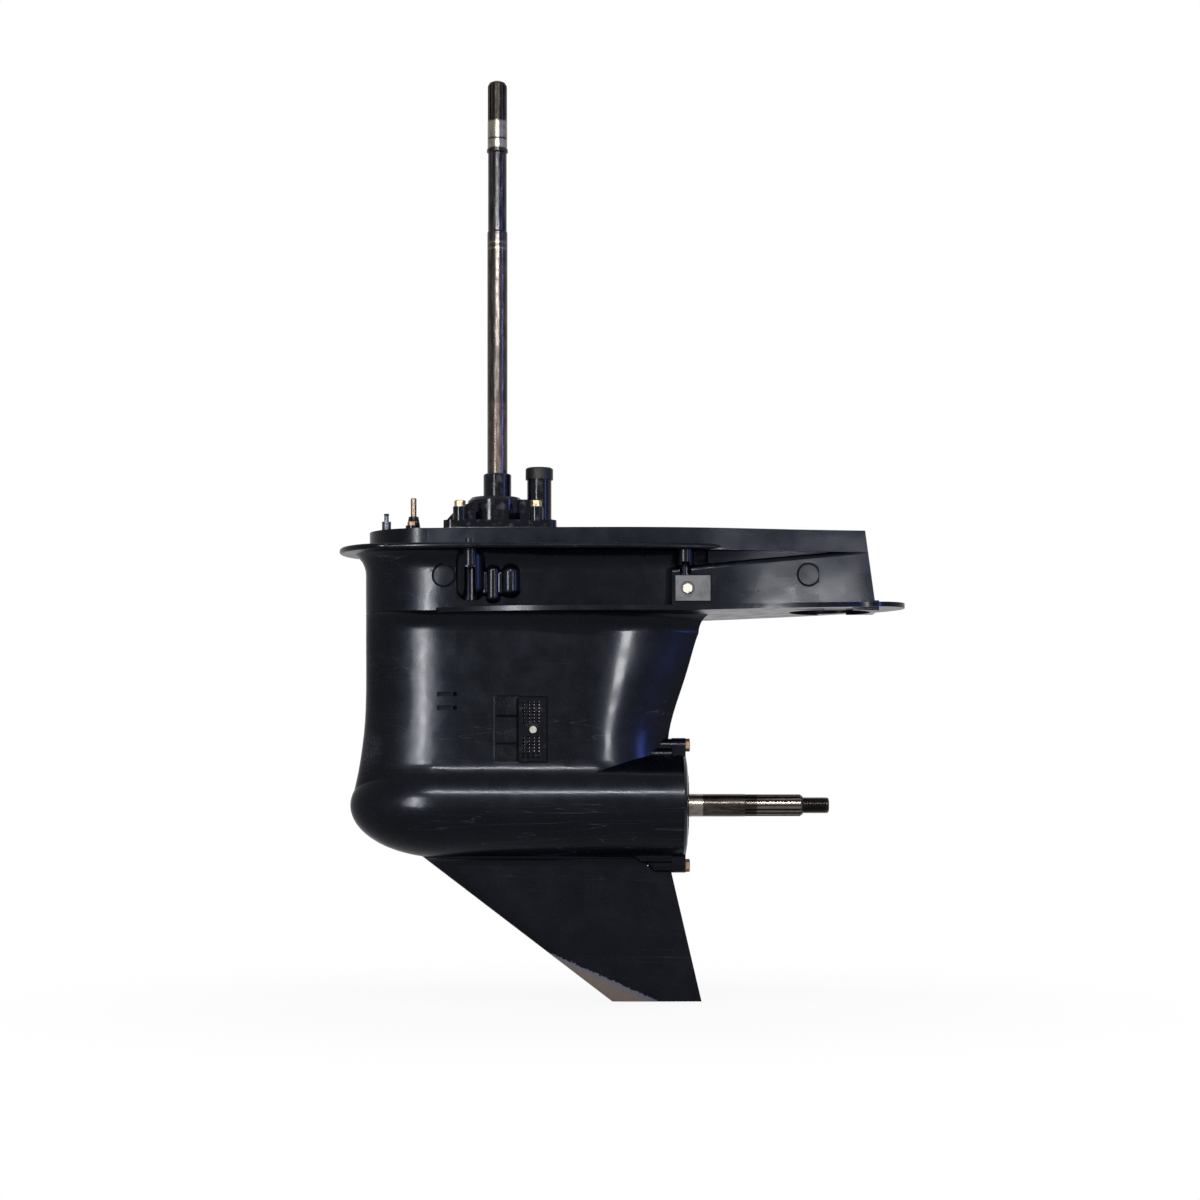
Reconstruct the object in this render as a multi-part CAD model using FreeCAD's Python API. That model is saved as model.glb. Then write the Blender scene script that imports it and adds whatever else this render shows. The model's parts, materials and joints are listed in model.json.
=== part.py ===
import FreeCAD, Part
import math
import os

# Outboard lower unit: gearcase, water pump, gear train and shift mechanism.
# Millimetres. Origin where the drive shaft's axis crosses the top mounting face.
# +X aft towards the propeller, +Y starboard, +Z up.

V = FreeCAD.Vector
AXIS_X = V(1, 0, 0)
AXIS_Y = V(0, 1, 0)
AXIS_Z = V(0, 0, 1)
SIDES = (-1, 1)

# Clearances
RUN_GAP = 0.05          # radial play of a shaft in its bush
SEAT_GAP = 0.02         # radial play of a ring in its bore
FIT_GAP = 0.2           # play of a loose part in its pocket
BACKLASH = 0.4          # slack between bevel teeth, along the pitch circle

# Main axes
PROP_Z = -312.0         # height of the propeller shaft
SHIFT_X = -96.3         # shift rod

# Deck, the walled top that bolts to the midsection
DECK_NOSE_X = -146.5
DECK_NOSE_RUN = 70.0    # length of the elliptic nose
DECK_HALF = 80.0        # half width abreast of the exhaust mouth
DECK_FRONT_HALF = 70.0  # half width where the nose ends
DECK_AFT_HALF = 39.0
DECK_REACH = 4.0        # how far the flanks run past the rear wall before it is cut
DECK_WALL_Z = -18.0     # foot of the deck wall
AFT_TOP_X = 419.0       # slanted rear wall, at the top
AFT_FOOT_X = 431.0      # and at the ventilation plate

# Splash plate
SPLASH_NOSE_X = -181.0
SPLASH_NOSE_RUN = 62.0
SPLASH_HALF = 95.0
SPLASH_THICK = 6.5
SPLASH_END_X = 270.0
SPLASH_FILLET = 24.0    # sweep of its underside into the strut

# Anti-ventilation plate
PLATE_Z = -94.0         # underside
PLATE_THICK = 5.5
PLATE_FRONT_X = -88.0
PLATE_FRONT_HALF = 34.0
PLATE_HALF = 100.0
PLATE_BEND_X = 230.0    # aft of here it rises
PLATE_TIP_X = 468.0
PLATE_TIP_RUN = 56.0
PLATE_TIP_HALF = 60.0
PLATE_RISE = 8.0
PLATE_FILLET = 20.0     # sweep of the strut into its underside

# Strut and waist
STRUT_NOSE_X = -151.0
STRUT_FOOT_NOSE_X = -160.0
STRUT_SHOULDER_X = -45.0
STRUT_RUN_OUT_X = 95.0
STRUT_HALF = 46.0
STRUT_TAIL_TOP_X = 236.0
STRUT_TAIL_FOOT_X = 196.0
STRUT_TAIL_HALF = 5.0
STRUT_TAIL_TOP_Z = PLATE_Z - 5.0
STRUT_TAIL_FOOT_Z = PROP_Z + 84.0
STRUT_STRAIGHT_Z = PROP_Z + 132.0  # below this the nose sweeps forward
STRUT_SWEEP = 94.0      # height of that sweep
WAIST_HALF = 59.0
WAIST_TAIL_X = 300.0
WAIST_TAIL_HALF = 32.0

# Torpedo, the round gear housing
TORPEDO_R = 60.5
TORPEDO_NOSE_X = -169.0
TORPEDO_NOSE_RUN = 109.0
TORPEDO_AFT_X = 200.2
TORPEDO_FILLET = 40.0   # sweep of the strut into its flank

# Skeg
SKEG_BOTTOM_Z = -537.6
SKEG_LEAD_BOTTOM_X = 132.0
SKEG_LEAD_SLOPE = 1.309
SKEG_TAIL_BOTTOM_X = 234.8
SKEG_TAIL_SLOPE = 0.234
SKEG_ROOT_HALF = 7.5
SKEG_TIP_HALF = 2.6
SKEG_FILLET = 9.0
SKEG_NOSE_SHARE = 0.16  # shares of its chord, for the rounded nose and the flat flank
SKEG_FLAT_SHARE = 0.55
SKEG_TAIL_SHARE = 0.4   # thickness left at the trailing edge

# Bevel gears
GEAR_BACK = 36.0        # from the apex to the back face of each big gear
GEAR_BACK_R = 40.0
GEAR_HUB_R = 27.0
FORWARD_HUB_END = 66.5
REVERSE_HUB_END = 60.0
PINION_HUB_END = 58.0
PINION_HUB_R = 19.5
PINION_NUT_FLATS = 21.0
PINION_NUT_HEIGHT = 8.5
BUSH_WALL = 2.0
BUSH_START = 27.0
MODULE = 3.4
PINION_TEETH = 14
GEAR_TEETH = 28
FACE_WIDTH = 15.0
BLANK_OVERRUN = 0.8     # how far a blank runs past its teeth
PRESSURE_ANGLE = math.radians(20)
ADDENDUM = 0.9
DEDENDUM = 1.2

# Torpedo bores
GEAR_BORE_R = 51.5
GEAR_BORE_FRONT_X = -44.0
FRONT_BEARING_R = 40.0
FRONT_BEARING_END_X = -68.0
SLIDER_BORE_R = 17.2
SLIDER_BORE_END_X = -118.0
PINION_BORE_R = 28.5
PINION_BORE_TOP_Z = -252.0

# Propeller shaft
PROP_NOSE_R = 14.0
PROP_MAIN_R = 15.0
PROP_TAPER_R = 13.25
PROP_SEAT_R = 13.0
PROP_SPLINE_R = 12.7
PROP_THREAD_R = 8.95
PROP_FRONT_X = -70.0
PROP_STEP_X = -22.0
PROP_SEAL_END_X = 217.0
PROP_SPLINE_X = 284.0
PROP_SPLINE_END_X = 350.6
PROP_END_X = 380.8
PROP_SPLINES = 16
PLUNGER_BORE_R = 6.0

# Drive shaft
DRIVE_LOWER_R = 13.5
DRIVE_MAIN_R = 11.6
DRIVE_RELIEF_R = 10.75
DRIVE_COLLAR_R = 12.2
DRIVE_TOP_R = 11.3      # journal below the spline
DRIVE_SPLINE_R = 11.1
DRIVE_RELIEF_Z = 346.0
DRIVE_COLLAR_Z = 437.0
DRIVE_BAND_Z = 443.0
DRIVE_SPLINE_Z = 474.0
DRIVE_TOP_Z = 520.0
DRIVE_SPLINES = 16
DRIVE_SHOULDER_Z = -50.0
DRIVE_THREAD_R = 9.0
DRIVE_SEAT_R = 12.0
DRIVE_FOOT_Z = -288.0

# Clutch dog
DOG_R = 21.0
DOG_CLAW_IN_R = 16.2
DOG_HALF_LENGTH = 11.0
DOG_CLAW_TIP = 16.5
DOG_CLAWS = 8
DOG_CLAW_DEG = 17.0
GEAR_CLAW_TIP = 17.2
GEAR_CLAW_ROOT = 23.2
CLUTCH_TRAVEL = 6.0
CLUTCH_PIN_R = 3.0
DOG_SPRING_WIRE = 1.1
DOG_SPRING_TURNS = 3.0

# Shift mechanism
SHIFT_ROD_R = 3.3
SHIFT_ROD_TOP_Z = 41.0
SHIFT_LOWER_R = 4.8
CRANK_R = 16.0
CRANK_OFFSET = 12.0
CRANK_TOP_Z = -287.0
CRANK_THICK = 6.0
CRANK_PIN_R = 3.5
SPOOL_SLOT = 7.9
SPOOL_R = 17.0
SPOOL_CORE_R = 6.0
RETAINER_R = 10.0
RETAINER_EAR_R = 8.0
RETAINER_BOLT_Y = -17.0
RETAINER_SEAT_Z = -4.0
RETAINER_TOP_Z = 19.5
NIPPLE_X = -127.5
NIPPLE_BASE_R = 5.2
NIPPLE_SEAT_Z = -4.0
NIPPLE_TOP_Z = 23.0

SLIDER_FRONT_X = -105.0
SLIDER_CUP_X = -88.0
SLIDER_CUP_END_X = -78.0
SLIDER_CUP_R = 12.0
PLUNGER_HEAD_R = 6.0
PLUNGER_NECK_R = 4.1
PLUNGER_END_X = 4.0
SHIFT_SEAL_R = 5.0
SHIFT_SEAL_HEIGHT = 4.0
RETAINER_BOLT_SEAT_Z = 7.5
NIPPLE_SHOULDER_Z = 13.8
NIPPLE_STEM_R = 2.6
NIPPLE_HOLE_R = 1.3

# Bearings
FRONT_BEARING_LENGTH = 20.0
ROLLERS = 13
PINION_BEARING_Z = -250.0
PINION_BEARING_LENGTH = 28.0
UPPER_BEARING_Z = -76.0
UPPER_BEARING_LENGTH = 24.0
UPPER_BEARING_R = 34.0
TUNNEL_R = 18.5
NEEDLES = 14
NEEDLE_R = 2.25
NEEDLE_SHELL_WALL = 2.4
NEEDLE_SHELL_R = DRIVE_LOWER_R + RUN_GAP + 2 * NEEDLE_R + NEEDLE_SHELL_WALL

# Water pump
POCKET_FLOOR_Z = -6.0
POCKET_FRONT_X = -62.0
POCKET_AFT_X = 70.5
POCKET_HALF = 47.0
POCKET_PLAY = 2.0
SEAL_FLANGE_TOP_Z = 2.0
GASKET_THICK = 0.5
WEAR_PLATE_THICK = 1.0
PUMP_BASE_TOP_Z = 12.0
PUMP_TOP_Z = 41.0
PUMP_DRUM_R = 32.0
PUMP_TUBE_R = 16.0
PUMP_TUBE_TOP_Z = 68.5
LINER_R = 26.0
LINER_WALL = 2.0
LINER_OFFSET = -2.0
IMPELLER_R = 23.6
IMPELLER_HUB_R = 15.0
IMPELLER_BLADES = 6
IMPELLER_HEIGHT = 18.0
BLADE_LEAN = 6.0
OUTLET_X = 48.2
OUTLET_R = 14.0
OUTLET_BORE_R = 8.5
GROMMET_BORE_R = 9.5
OUTLET_TOP_Z = 66.0
GROMMET_R = 15.8
GROMMET_TOP_Z = 75.5
PUMP_BOLT_FRONT_X = -41.0
PUMP_BOLT_AFT_X = 45.5
PUMP_BOLT_Y = 37.5
PUMP_BOLT_R = 3.0
PUMP_BOLT_SEAT_Z = 27.0
PUMP_BOLT_FOOT_Z = -20.0
PUMP_BOLT_FLATS = 11.0
WASHER_THICK = 1.3
POCKET_CORNER_R = 12.0
PUMP_BASE_Z = SEAL_FLANGE_TOP_Z + GASKET_THICK + WEAR_PLATE_THICK
PUMP_PILLAR_R = 8.0
PUMP_WEB_REACH = 18.0   # ribs between a pillar and the drum
PUMP_RAMP_HALF = 21.0   # sloped roof of the water's way in, ahead of the drum
PUMP_DUCT_HALF = 15.0   # roof of its way out to the tube
PORT_HALF = 7.0         # half width of the liner's outlet port
PUMP_BOLT_HEAD = 6.2
LINER_HEIGHT = 21.5
IMPELLER_Z = PUMP_BASE_Z + 0.5
KEY_SINK = 2.2
KEY_PROUD = 2.0
SEAL_R = 20.0
SEAL_Z = -26.0
SEAL_LENGTH = 9.0
SEAL_STEP = 2.0         # gap between the two seals of a pair

# Inlet screens
SCREEN_SINK = 1.3
SCREEN_FRAME = 5.2      # from the front edge to the first column's middle
SCREEN_SLOT_HALF = 1.3
SCREEN_SLOT_TALL = 1.1
SCREEN_BOSS = 8.5       # from the screw to the nearest row
SCREEN_COLUMNS = 4
SCREEN_COLUMN_STEP = 5.6
SCREEN_ROWS = 7
SCREEN_ROW_STEP = 3.8
SCREEN_SCREW_X = 42.2
SCREEN_SCREW_R = 2.2
SCREEN_SCREW_HEAD_R = 4.0

# Passages
WATER_X = 37.0          # front wall of the water passages
WATER_LENGTH = 18.0
WATER_HALF = 12.0
INLET_X = 26.0
INLET_TOP_Z = -190.0
INLET_FOOT_Z = -262.0
INLET_MIDDLE_Z = (INLET_TOP_Z + INLET_FOOT_Z) / 2
INLET_LENGTH = 31.0
INLET_DEPTH = 7.0
SCOOP_FRONT_X = -2.4
SCOOP_RIB = 15.6        # height of each rib above or below the screw
SCOOP_RIB_HALF = 1.2
EXHAUST_X = 88.0
EXHAUST_AFT_X = 292.0
EXHAUST_HALF = 44.0
EXHAUST_FLOOR_Z = -80.0
EXHAUST_CORNER_R = 16.0
EXHAUST_STRUT_AFT_X = 158.0
EXHAUST_STRUT_HALF = 29.0
EXHAUST_TAPER_X = EXHAUST_X + 34.0
REAR_WELL_HALF = 27.0
REAR_WELL_CORNER_R = 10.0

# Bearing carrier
CARRIER_BEARING_X = 150.0
CARRIER_BEARING_LENGTH = 35.0
CARRIER_SEAL_X = 190.0
CARRIER_WINDOW_OUT_R = 46.5
CARRIER_WINDOW_IN_R = 29.5
CARRIER_WEB_DEG = 8.0   # half of the web between two windows
CARRIER_BOLT_FLATS = 13.0
CARRIER_BOLT_HEAD = 5.3
CARRIER_FLANGE_X = 216.0
CARRIER_DOME_X = 219.8
CARRIER_EAR_R = 77.3
CARRIER_EAR_HALF = 15.0
EAR_START_X = 112.0     # the casting's bosses for the carrier's bolts
EAR_KNEE_X = 166.0
EAR_LEVEL = 66.0
EAR_HALF = 19.0
EAR_ROUND = 8.0
CARRIER_BOLT_OFFSET = 69.2
CARRIER_BOLT_R = 4.0
CARRIER_HUB_R = 27.0
CARRIER_BORE_R = 21.0
CARRIER_SPIGOT_X = 188.0
CARRIER_RIBS = 4
CARRIER_RIB_THICK = 6.0
CARRIER_RING_X = 38.0
CARRIER_RING_END_X = 66.0
REVERSE_BEARING_X = 44.0
REVERSE_BEARING_LENGTH = 16.0
REVERSE_BEARING_R = 44.0
O_RING_DEPTH = 1.8
O_RING_WIDTH = 3.0
O_RING_X = (51.0, 192.5)

# Fastening to the midsection
BOLT_FRONT_X = -28.0
BOLT_AFT_X = 214.0
BOLT_Y = 66.0
BOLT_HOLE_R = 5.5
BOLT_PILLAR_R = 9.5     # round column through which each bolt passes
BOLT_PILLAR_Z = -42.0
WRENCH_FRONT_R = 8.2    # channels that let a wrench in from below
WRENCH_AFT_R = 7.0
BULGE_Y = 57.0          # axes of the bulges under the splash plate
BULGE_TOP_Z = -49.0
BULGE_FOOT_Z = -63.5
BOLT_BULGE_R = 17.0
SMALL_BULGE_X = -2.8
SMALL_BULGE_R = 8.5
WIDE_BULGE_X = 16.8
WIDE_BULGE_R = 11.5
BULGE_SADDLE_R = 6.5
AFT_BOX_ROUND = 6.0     # rounding of the lower wall's top edge

# Side anodes
ANODE_X = 202.3
ANODE_LENGTH = 40.5
ANODE_TOP_Z = -52.3
ANODE_HEIGHT = 30.0
ANODE_BOLT_X = 216.5
ANODE_BOLT_Z = -67.6
ANODE_BOLT_R = 3.0
AFT_BOX_HALF = 66.0     # half width of the lower wall abreast of the anodes
AFT_BOX_TOP_Z = -44.0
AFT_BOX_LEAN = 12.0     # slant of its front edge
AFT_WALL_X = 240.0      # front of the narrower wall above it

ANODE_SINK = 4.5        # depth of its seat in the wall
ANODE_PROUD = 0.8       # how far it stands out of the wall
ANODE_COUNTERBORE = 2.4
ANODE_RECESS_R = 8.0

# Gear oil screws on the starboard side
OIL_SCREW_R = 4.5
OIL_HEAD_R = 7.5
OIL_HEAD_THICK = 3.0
OIL_SEAL_THICK = 1.0
OIL_SCREW_LENGTH = 8.0
DRAIN_X = -20.0
LEVEL_X = 66.0
LEVEL_Z = -150.0
OIL_SCREWS = ((DRAIN_X, TORPEDO_R, PROP_Z), (LEVEL_X, STRUT_HALF, LEVEL_Z))

# Cast marks of the port side wall
PAD_R = 13.8
PAD_GROOVE = 2.6
FRONT_PAD_X = -58.2
FRONT_PAD_Z = -52.4
AFT_PAD_X = 354.0
AFT_PAD_Z = -50.8
PILOT_SLOT_FRONT_X = -66.5
PILOT_SLOT_END_X = -50.3
PILOT_HOLE_X = -46.1
PILOT_HOLE_R = 2.6
PILOT_SLOTS_Z = (-185.8, -201.3)
PILOT_DEPTH = 4.0

# Seat of the trim tab, which hangs under the plate's tail
TRIM_TAB_X = 382.0
TRIM_TAB_R = 46.5
TRIM_TAB_FLOOR_Z = -85.5
TRIM_BOLT_R = 5.0
TRIM_BOSS_R = 13.0
TRIM_BOSS_TOP_Z = -55.5  # the bolt goes in from the well above


def cylinder(radius, length, at, along=AXIS_Z):
    return Part.makeCylinder(radius, length, at, along)


def tube(outer, inner, length, at, along=AXIS_Z):
    back = at - along * 1.0
    return cylinder(outer, length, at, along).cut(cylinder(inner, length + 2.0, back, along))


def block(x0, x1, y0, y1, z0, z1):
    return Part.makeBox(x1 - x0, y1 - y0, z1 - z0, V(x0, y0, z0))


def revolved(profile, base, axis_of_turn, radial):
    """Turn (along, radius) pairs into a solid of revolution."""
    points = [base + axis_of_turn * a + radial * r for a, r in profile]
    wire = Part.makePolygon(points + [points[0]])
    return Part.Face(wire).revolve(base, axis_of_turn, 360)


def turned_z(profile, x=0.0):
    return revolved(profile, V(x, 0, 0), AXIS_Z, AXIS_X)


def turned_x(profile):
    return revolved(profile, V(0, 0, PROP_Z), AXIS_X, AXIS_Z)


def prism(points, along):
    """Straight prism over a closed outline of 3D points."""
    return Part.Face(Part.makePolygon(points + [points[0]])).extrude(along)


def hexagon(flats, length, at, along):
    radius = flats / math.sqrt(3)
    side = AXIS_Z if abs(along.z) < 0.5 else AXIS_X
    other = along.cross(side)
    corners = []
    for i in range(6):
        turn = math.radians(60 * i)
        corners.append(at + side * (radius * math.cos(turn)) + other * (radius * math.sin(turn)))
    return prism(corners, along * length)


def joined(first, *rest):
    return first.multiFuse(list(rest)) if rest else first


def drilled(shape, tools):
    return shape.cut(Part.makeCompound(tools))


def around(shape, count, base, axis_of_turn):
    """Copies of a shape, evenly spaced about an axis."""
    copies = []
    for i in range(count):
        copy = shape.copy()
        copy.rotate(base, axis_of_turn, 360.0 * i / count)
        copies.append(copy)
    return copies


def mirrored_y(shape):
    return shape.mirror(V(0, 0, 0), AXIS_Y)


PROP_BASE = V(0, 0, PROP_Z)


def half_ellipse(x_end, half, nose_x, z):
    """Nose of an outline, from starboard round the front to port."""
    run = x_end - nose_x
    centre = V(x_end, 0, z)
    if run >= half:
        curve = Part.Ellipse(V(nose_x, 0, z), V(x_end, half, z), centre)
    else:
        curve = Part.Ellipse(V(x_end, half, z), V(nose_x, 0, z), centre)
    starboard = V(x_end, half, z)
    port = V(x_end, -half, z)
    first = curve.parameter(starboard)
    last = curve.parameter(port)
    arc = Part.ArcOfEllipse(curve, first, last)
    middle = arc.value((arc.FirstParameter + arc.LastParameter) / 2)
    if middle.x > x_end:
        arc = Part.ArcOfEllipse(curve, last, first)
    return arc.toShape()


def side_curve(points, side, z):
    curve = Part.BSplineCurve()
    curve.interpolate([V(x, side * y, z) for x, y in points])
    return curve.toShape()


def flank(start_x, end_x, halves):
    """Points of a flank, from pairs of (share of its length, half width)."""
    return [(start_x + share * (end_x - start_x), half) for share, half in halves]


def plan_outline(nose_x, side_points, z):
    """Outline seen from above: elliptic nose, splined flanks and a straight end."""
    first_x, first_half = side_points[0]
    last_x, last_half = side_points[-1]
    edges = [half_ellipse(first_x, first_half, nose_x, z)]
    edges += [side_curve(side_points, side, z) for side in SIDES]
    edges.append(Part.LineSegment(V(last_x, -last_half, z), V(last_x, last_half, z)).toShape())
    return Part.Wire(Part.__sortEdges__(edges))


def plan_prism(nose_x, side_points, z_low, z_high):
    face = Part.Face(plan_outline(nose_x, side_points, z_low))
    return face.extrude(V(0, 0, z_high - z_low))


def strut_outline(z, nose_x, tail_x, half, tail_half):
    """Section of the strut: rounded nose, flat flanks and a thinning tail."""
    shoulder = STRUT_SHOULDER_X
    run_out = STRUT_RUN_OUT_X
    knee = run_out + 0.5 * (tail_x - run_out)
    edges = [half_ellipse(shoulder, half, nose_x, z)]
    for side in SIDES:
        start = V(shoulder, side * half, z)
        end = V(run_out, side * half, z)
        edges.append(Part.LineSegment(start, end).toShape())
        tail = Part.BezierCurve()
        tail.setPoles([end, V(knee, side * half, z), V(tail_x, side * tail_half, z)])
        edges.append(tail.toShape())
    edges.append(Part.LineSegment(V(tail_x, -tail_half, z), V(tail_x, tail_half, z)).toShape())
    return Part.Wire(Part.__sortEdges__(edges))


def loft(wires):
    return Part.makeLoft(wires, True, False)


def strut_tail_x(z):
    slope = (STRUT_TAIL_FOOT_X - STRUT_TAIL_TOP_X) / (STRUT_TAIL_FOOT_Z - STRUT_TAIL_TOP_Z)
    return STRUT_TAIL_TOP_X + slope * (z - STRUT_TAIL_TOP_Z)


def strut_nose_x(z):
    if z >= STRUT_STRAIGHT_Z:
        return STRUT_NOSE_X
    share = (STRUT_STRAIGHT_Z - z) / STRUT_SWEEP
    return STRUT_NOSE_X + (STRUT_FOOT_NOSE_X - STRUT_NOSE_X) * share * share


def make_strut():
    """Blade between the ventilation plate and the torpedo, swept out at both ends."""
    top_z = PLATE_Z - PLATE_FILLET
    sweep_r = TORPEDO_R + TORPEDO_FILLET
    drop = math.sqrt(sweep_r ** 2 - (STRUT_HALF + TORPEDO_FILLET) ** 2)
    foot_z = PROP_Z + drop
    levels = [top_z, (top_z + STRUT_STRAIGHT_Z) / 2]
    levels += [STRUT_STRAIGHT_Z + share * (foot_z - STRUT_STRAIGHT_Z) for share in (0.0, 0.44, 0.75, 1.0)]
    blade = loft([strut_outline(z, strut_nose_x(z), max(strut_tail_x(z), STRUT_TAIL_FOOT_X),
                                STRUT_HALF, STRUT_TAIL_HALF) for z in levels])
    upper = []
    for step in range(5):
        turn = math.radians(18.0 * step)
        z = top_z + (PLATE_FILLET + 3.0) * math.sin(turn)
        out = PLATE_FILLET * (1.0 - math.cos(turn))
        upper.append(strut_outline(z, STRUT_NOSE_X, strut_tail_x(top_z) + out,
                                   STRUT_HALF + out, STRUT_TAIL_HALF + out))
    lower = []
    reach = math.asin(drop / sweep_r)
    for step in range(5):
        turn = reach * step / 4.0
        z = foot_z - TORPEDO_FILLET * math.sin(turn)
        out = TORPEDO_FILLET * (1.0 - math.cos(turn))
        lower.append(strut_outline(z, strut_nose_x(z), STRUT_TAIL_FOOT_X,
                                   STRUT_HALF + out, STRUT_TAIL_HALF + out))
    root = []
    for level in (z, PROP_Z + 10.0):
        root.append(strut_outline(level, strut_nose_x(level), STRUT_TAIL_FOOT_X,
                                  STRUT_HALF + out - 0.3 * (z - level), STRUT_TAIL_HALF + out))
    return [blade, loft(upper), loft(lower), loft(root)]


def make_waist():
    """Wall between the two plates, with its sweep into the upper one."""
    low_z = PLATE_Z + PLATE_THICK / 2
    sweep_z = DECK_WALL_Z - SPLASH_THICK - SPLASH_FILLET
    core = loft([strut_outline(low_z, STRUT_NOSE_X, WAIST_TAIL_X, WAIST_HALF - 3, WAIST_TAIL_HALF - 2),
                 strut_outline(sweep_z, STRUT_NOSE_X, WAIST_TAIL_X, WAIST_HALF, WAIST_TAIL_HALF)])
    sections = []
    for step in range(6):
        turn = math.radians(18.0 * step)
        z = sweep_z + (SPLASH_FILLET + 3.0) * math.sin(turn)
        out = SPLASH_FILLET * (1.0 - math.cos(turn))
        sections.append(strut_outline(z, STRUT_NOSE_X - out, WAIST_TAIL_X,
                                      WAIST_HALF + 0.8 * out, WAIST_TAIL_HALF))
    return [core, loft(sections)]


def deck_flank():
    halves = ((0.0, DECK_FRONT_HALF), (0.11, DECK_HALF - 5), (0.29, DECK_HALF), (0.52, DECK_HALF),
              (0.66, DECK_HALF - 10), (0.775, DECK_HALF - 23.5), (0.88, DECK_HALF - 34),
              (1.0, DECK_AFT_HALF - 2))
    return flank(DECK_NOSE_X + DECK_NOSE_RUN, AFT_FOOT_X + DECK_REACH, halves)


def make_deck():
    return plan_prism(DECK_NOSE_X, deck_flank(), DECK_WALL_Z - SPLASH_THICK, 0.0)


def make_splash_plate():
    halves = ((0.0, SPLASH_HALF - 12), (0.15, SPLASH_HALF - 2), (0.38, SPLASH_HALF),
              (0.64, SPLASH_HALF - 2), (0.83, SPLASH_HALF - 11), (1.0, DECK_HALF - 14))
    points = flank(SPLASH_NOSE_X + SPLASH_NOSE_RUN, SPLASH_END_X, halves)
    plate = plan_prism(SPLASH_NOSE_X, points, DECK_WALL_Z - SPLASH_THICK, DECK_WALL_Z)
    rim = [edge for edge in plate.Edges
           if edge.BoundBox.ZLength < 0.01 and edge.BoundBox.XMax < SPLASH_END_X + 0.1
           and edge.BoundBox.XLength > 1.0]
    return plate.makeFillet(SPLASH_THICK * 0.42, rim)


def make_ventilation_plate():
    """Flat foil that bends up a little towards its blunt tail."""
    low = PLATE_Z
    tip_low = PLATE_Z + PLATE_RISE
    reach = PLATE_HALF * 1.5
    side = [V(PLATE_FRONT_X - 1, -reach, low), V(PLATE_BEND_X, -reach, low),
            V(PLATE_TIP_X + 1, -reach, tip_low), V(PLATE_TIP_X + 1, -reach, tip_low + PLATE_THICK),
            V(PLATE_BEND_X, -reach, low + PLATE_THICK), V(PLATE_FRONT_X - 1, -reach, low + PLATE_THICK)]
    strip = prism(side, V(0, 2 * reach, 0))
    tail_x = PLATE_TIP_X - PLATE_TIP_RUN
    halves = ((0.0, PLATE_FRONT_HALF), (0.056, PLATE_HALF - 40), (0.156, PLATE_HALF - 19),
              (0.3, PLATE_HALF - 4), (0.46, PLATE_HALF), (0.68, PLATE_HALF - 3), (0.856, PLATE_HALF - 17),
              (1.0, PLATE_TIP_HALF))
    points = flank(PLATE_FRONT_X, tail_x, halves)
    z_low = PLATE_Z - 5.0
    height = PLATE_RISE + PLATE_THICK + 10.0
    tail = half_ellipse(0.0, PLATE_TIP_HALF, -PLATE_TIP_RUN, z_low)
    tail = tail.mirror(V(0, 0, 0), AXIS_X)
    tail.translate(V(tail_x, 0, 0))
    front = Part.LineSegment(V(PLATE_FRONT_X, -PLATE_FRONT_HALF, z_low),
                             V(PLATE_FRONT_X, PLATE_FRONT_HALF, z_low))
    edges = [tail, front.toShape()] + [side_curve(points, s, z_low) for s in SIDES]
    outline = Part.Wire(Part.__sortEdges__(edges))
    return Part.Face(outline).extrude(V(0, 0, height)).common(strip)


def flank_prism(points, z_low, z_high):
    """Prism between two splined flanks, closed by a straight face at each end."""
    edges = [side_curve(points, side, z_low) for side in SIDES]
    for x, half in (points[0], points[-1]):
        edges.append(Part.LineSegment(V(x, -half, z_low), V(x, half, z_low)).toShape())
    face = Part.Face(Part.Wire(Part.__sortEdges__(edges)))
    return face.extrude(V(0, 0, z_high - z_low))


def make_aft_wall():
    """Recessed wall between the deck's edge and the wider lower wall, round the rear well."""
    halves = ((0.0, DECK_HALF - 26), (0.31, DECK_HALF - 31), (0.56, DECK_HALF - 39), (0.82, DECK_HALF - 44),
              (1.0, DECK_AFT_HALF - 3))
    points = flank(AFT_WALL_X, AFT_FOOT_X + DECK_REACH, halves)
    return flank_prism(points, AFT_BOX_TOP_Z - 16.0, DECK_WALL_Z - 1.0)


def make_aft_box():
    """Wider lower wall that carries the anodes, with a rounded, rising top edge."""
    halves = ((0.0, AFT_BOX_HALF), (0.215, AFT_BOX_HALF - 1), (0.47, AFT_BOX_HALF - 9),
              (0.72, AFT_BOX_HALF - 20), (1.0, DECK_AFT_HALF - 1))
    start_x = ANODE_X - 3.0
    end_x = AFT_FOOT_X + DECK_REACH
    box = flank_prism(flank(start_x, end_x, halves), PLATE_Z + PLATE_THICK - 2.0, -4.0)
    reach = PLATE_HALF * 1.2
    roof = [V(start_x - 7, -reach, AFT_BOX_TOP_Z), V(end_x + 5, -reach, DECK_WALL_Z),
            V(end_x + 5, -reach, PLATE_Z - 26), V(start_x - 7, -reach, PLATE_Z - 26)]
    box = box.common(prism(roof, V(0, 2 * reach, 0)))
    brow = [e for e in box.Edges if e.BoundBox.XLength > 100 and e.BoundBox.YMin * e.BoundBox.YMax > 0
            and e.BoundBox.ZMax > AFT_BOX_TOP_Z and e.BoundBox.ZLength > 5]
    box = box.makeFillet(AFT_BOX_ROUND, brow)
    front = [V(start_x - 1 - AFT_BOX_LEAN, -reach, PLATE_Z - 6), V(start_x - 1, -reach, AFT_BOX_TOP_Z + 4),
             V(end_x + 60, -reach, 0), V(end_x + 60, -reach, PLATE_Z - 6)]
    return box.common(prism(front, V(0, 2 * reach, 0)))


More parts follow.
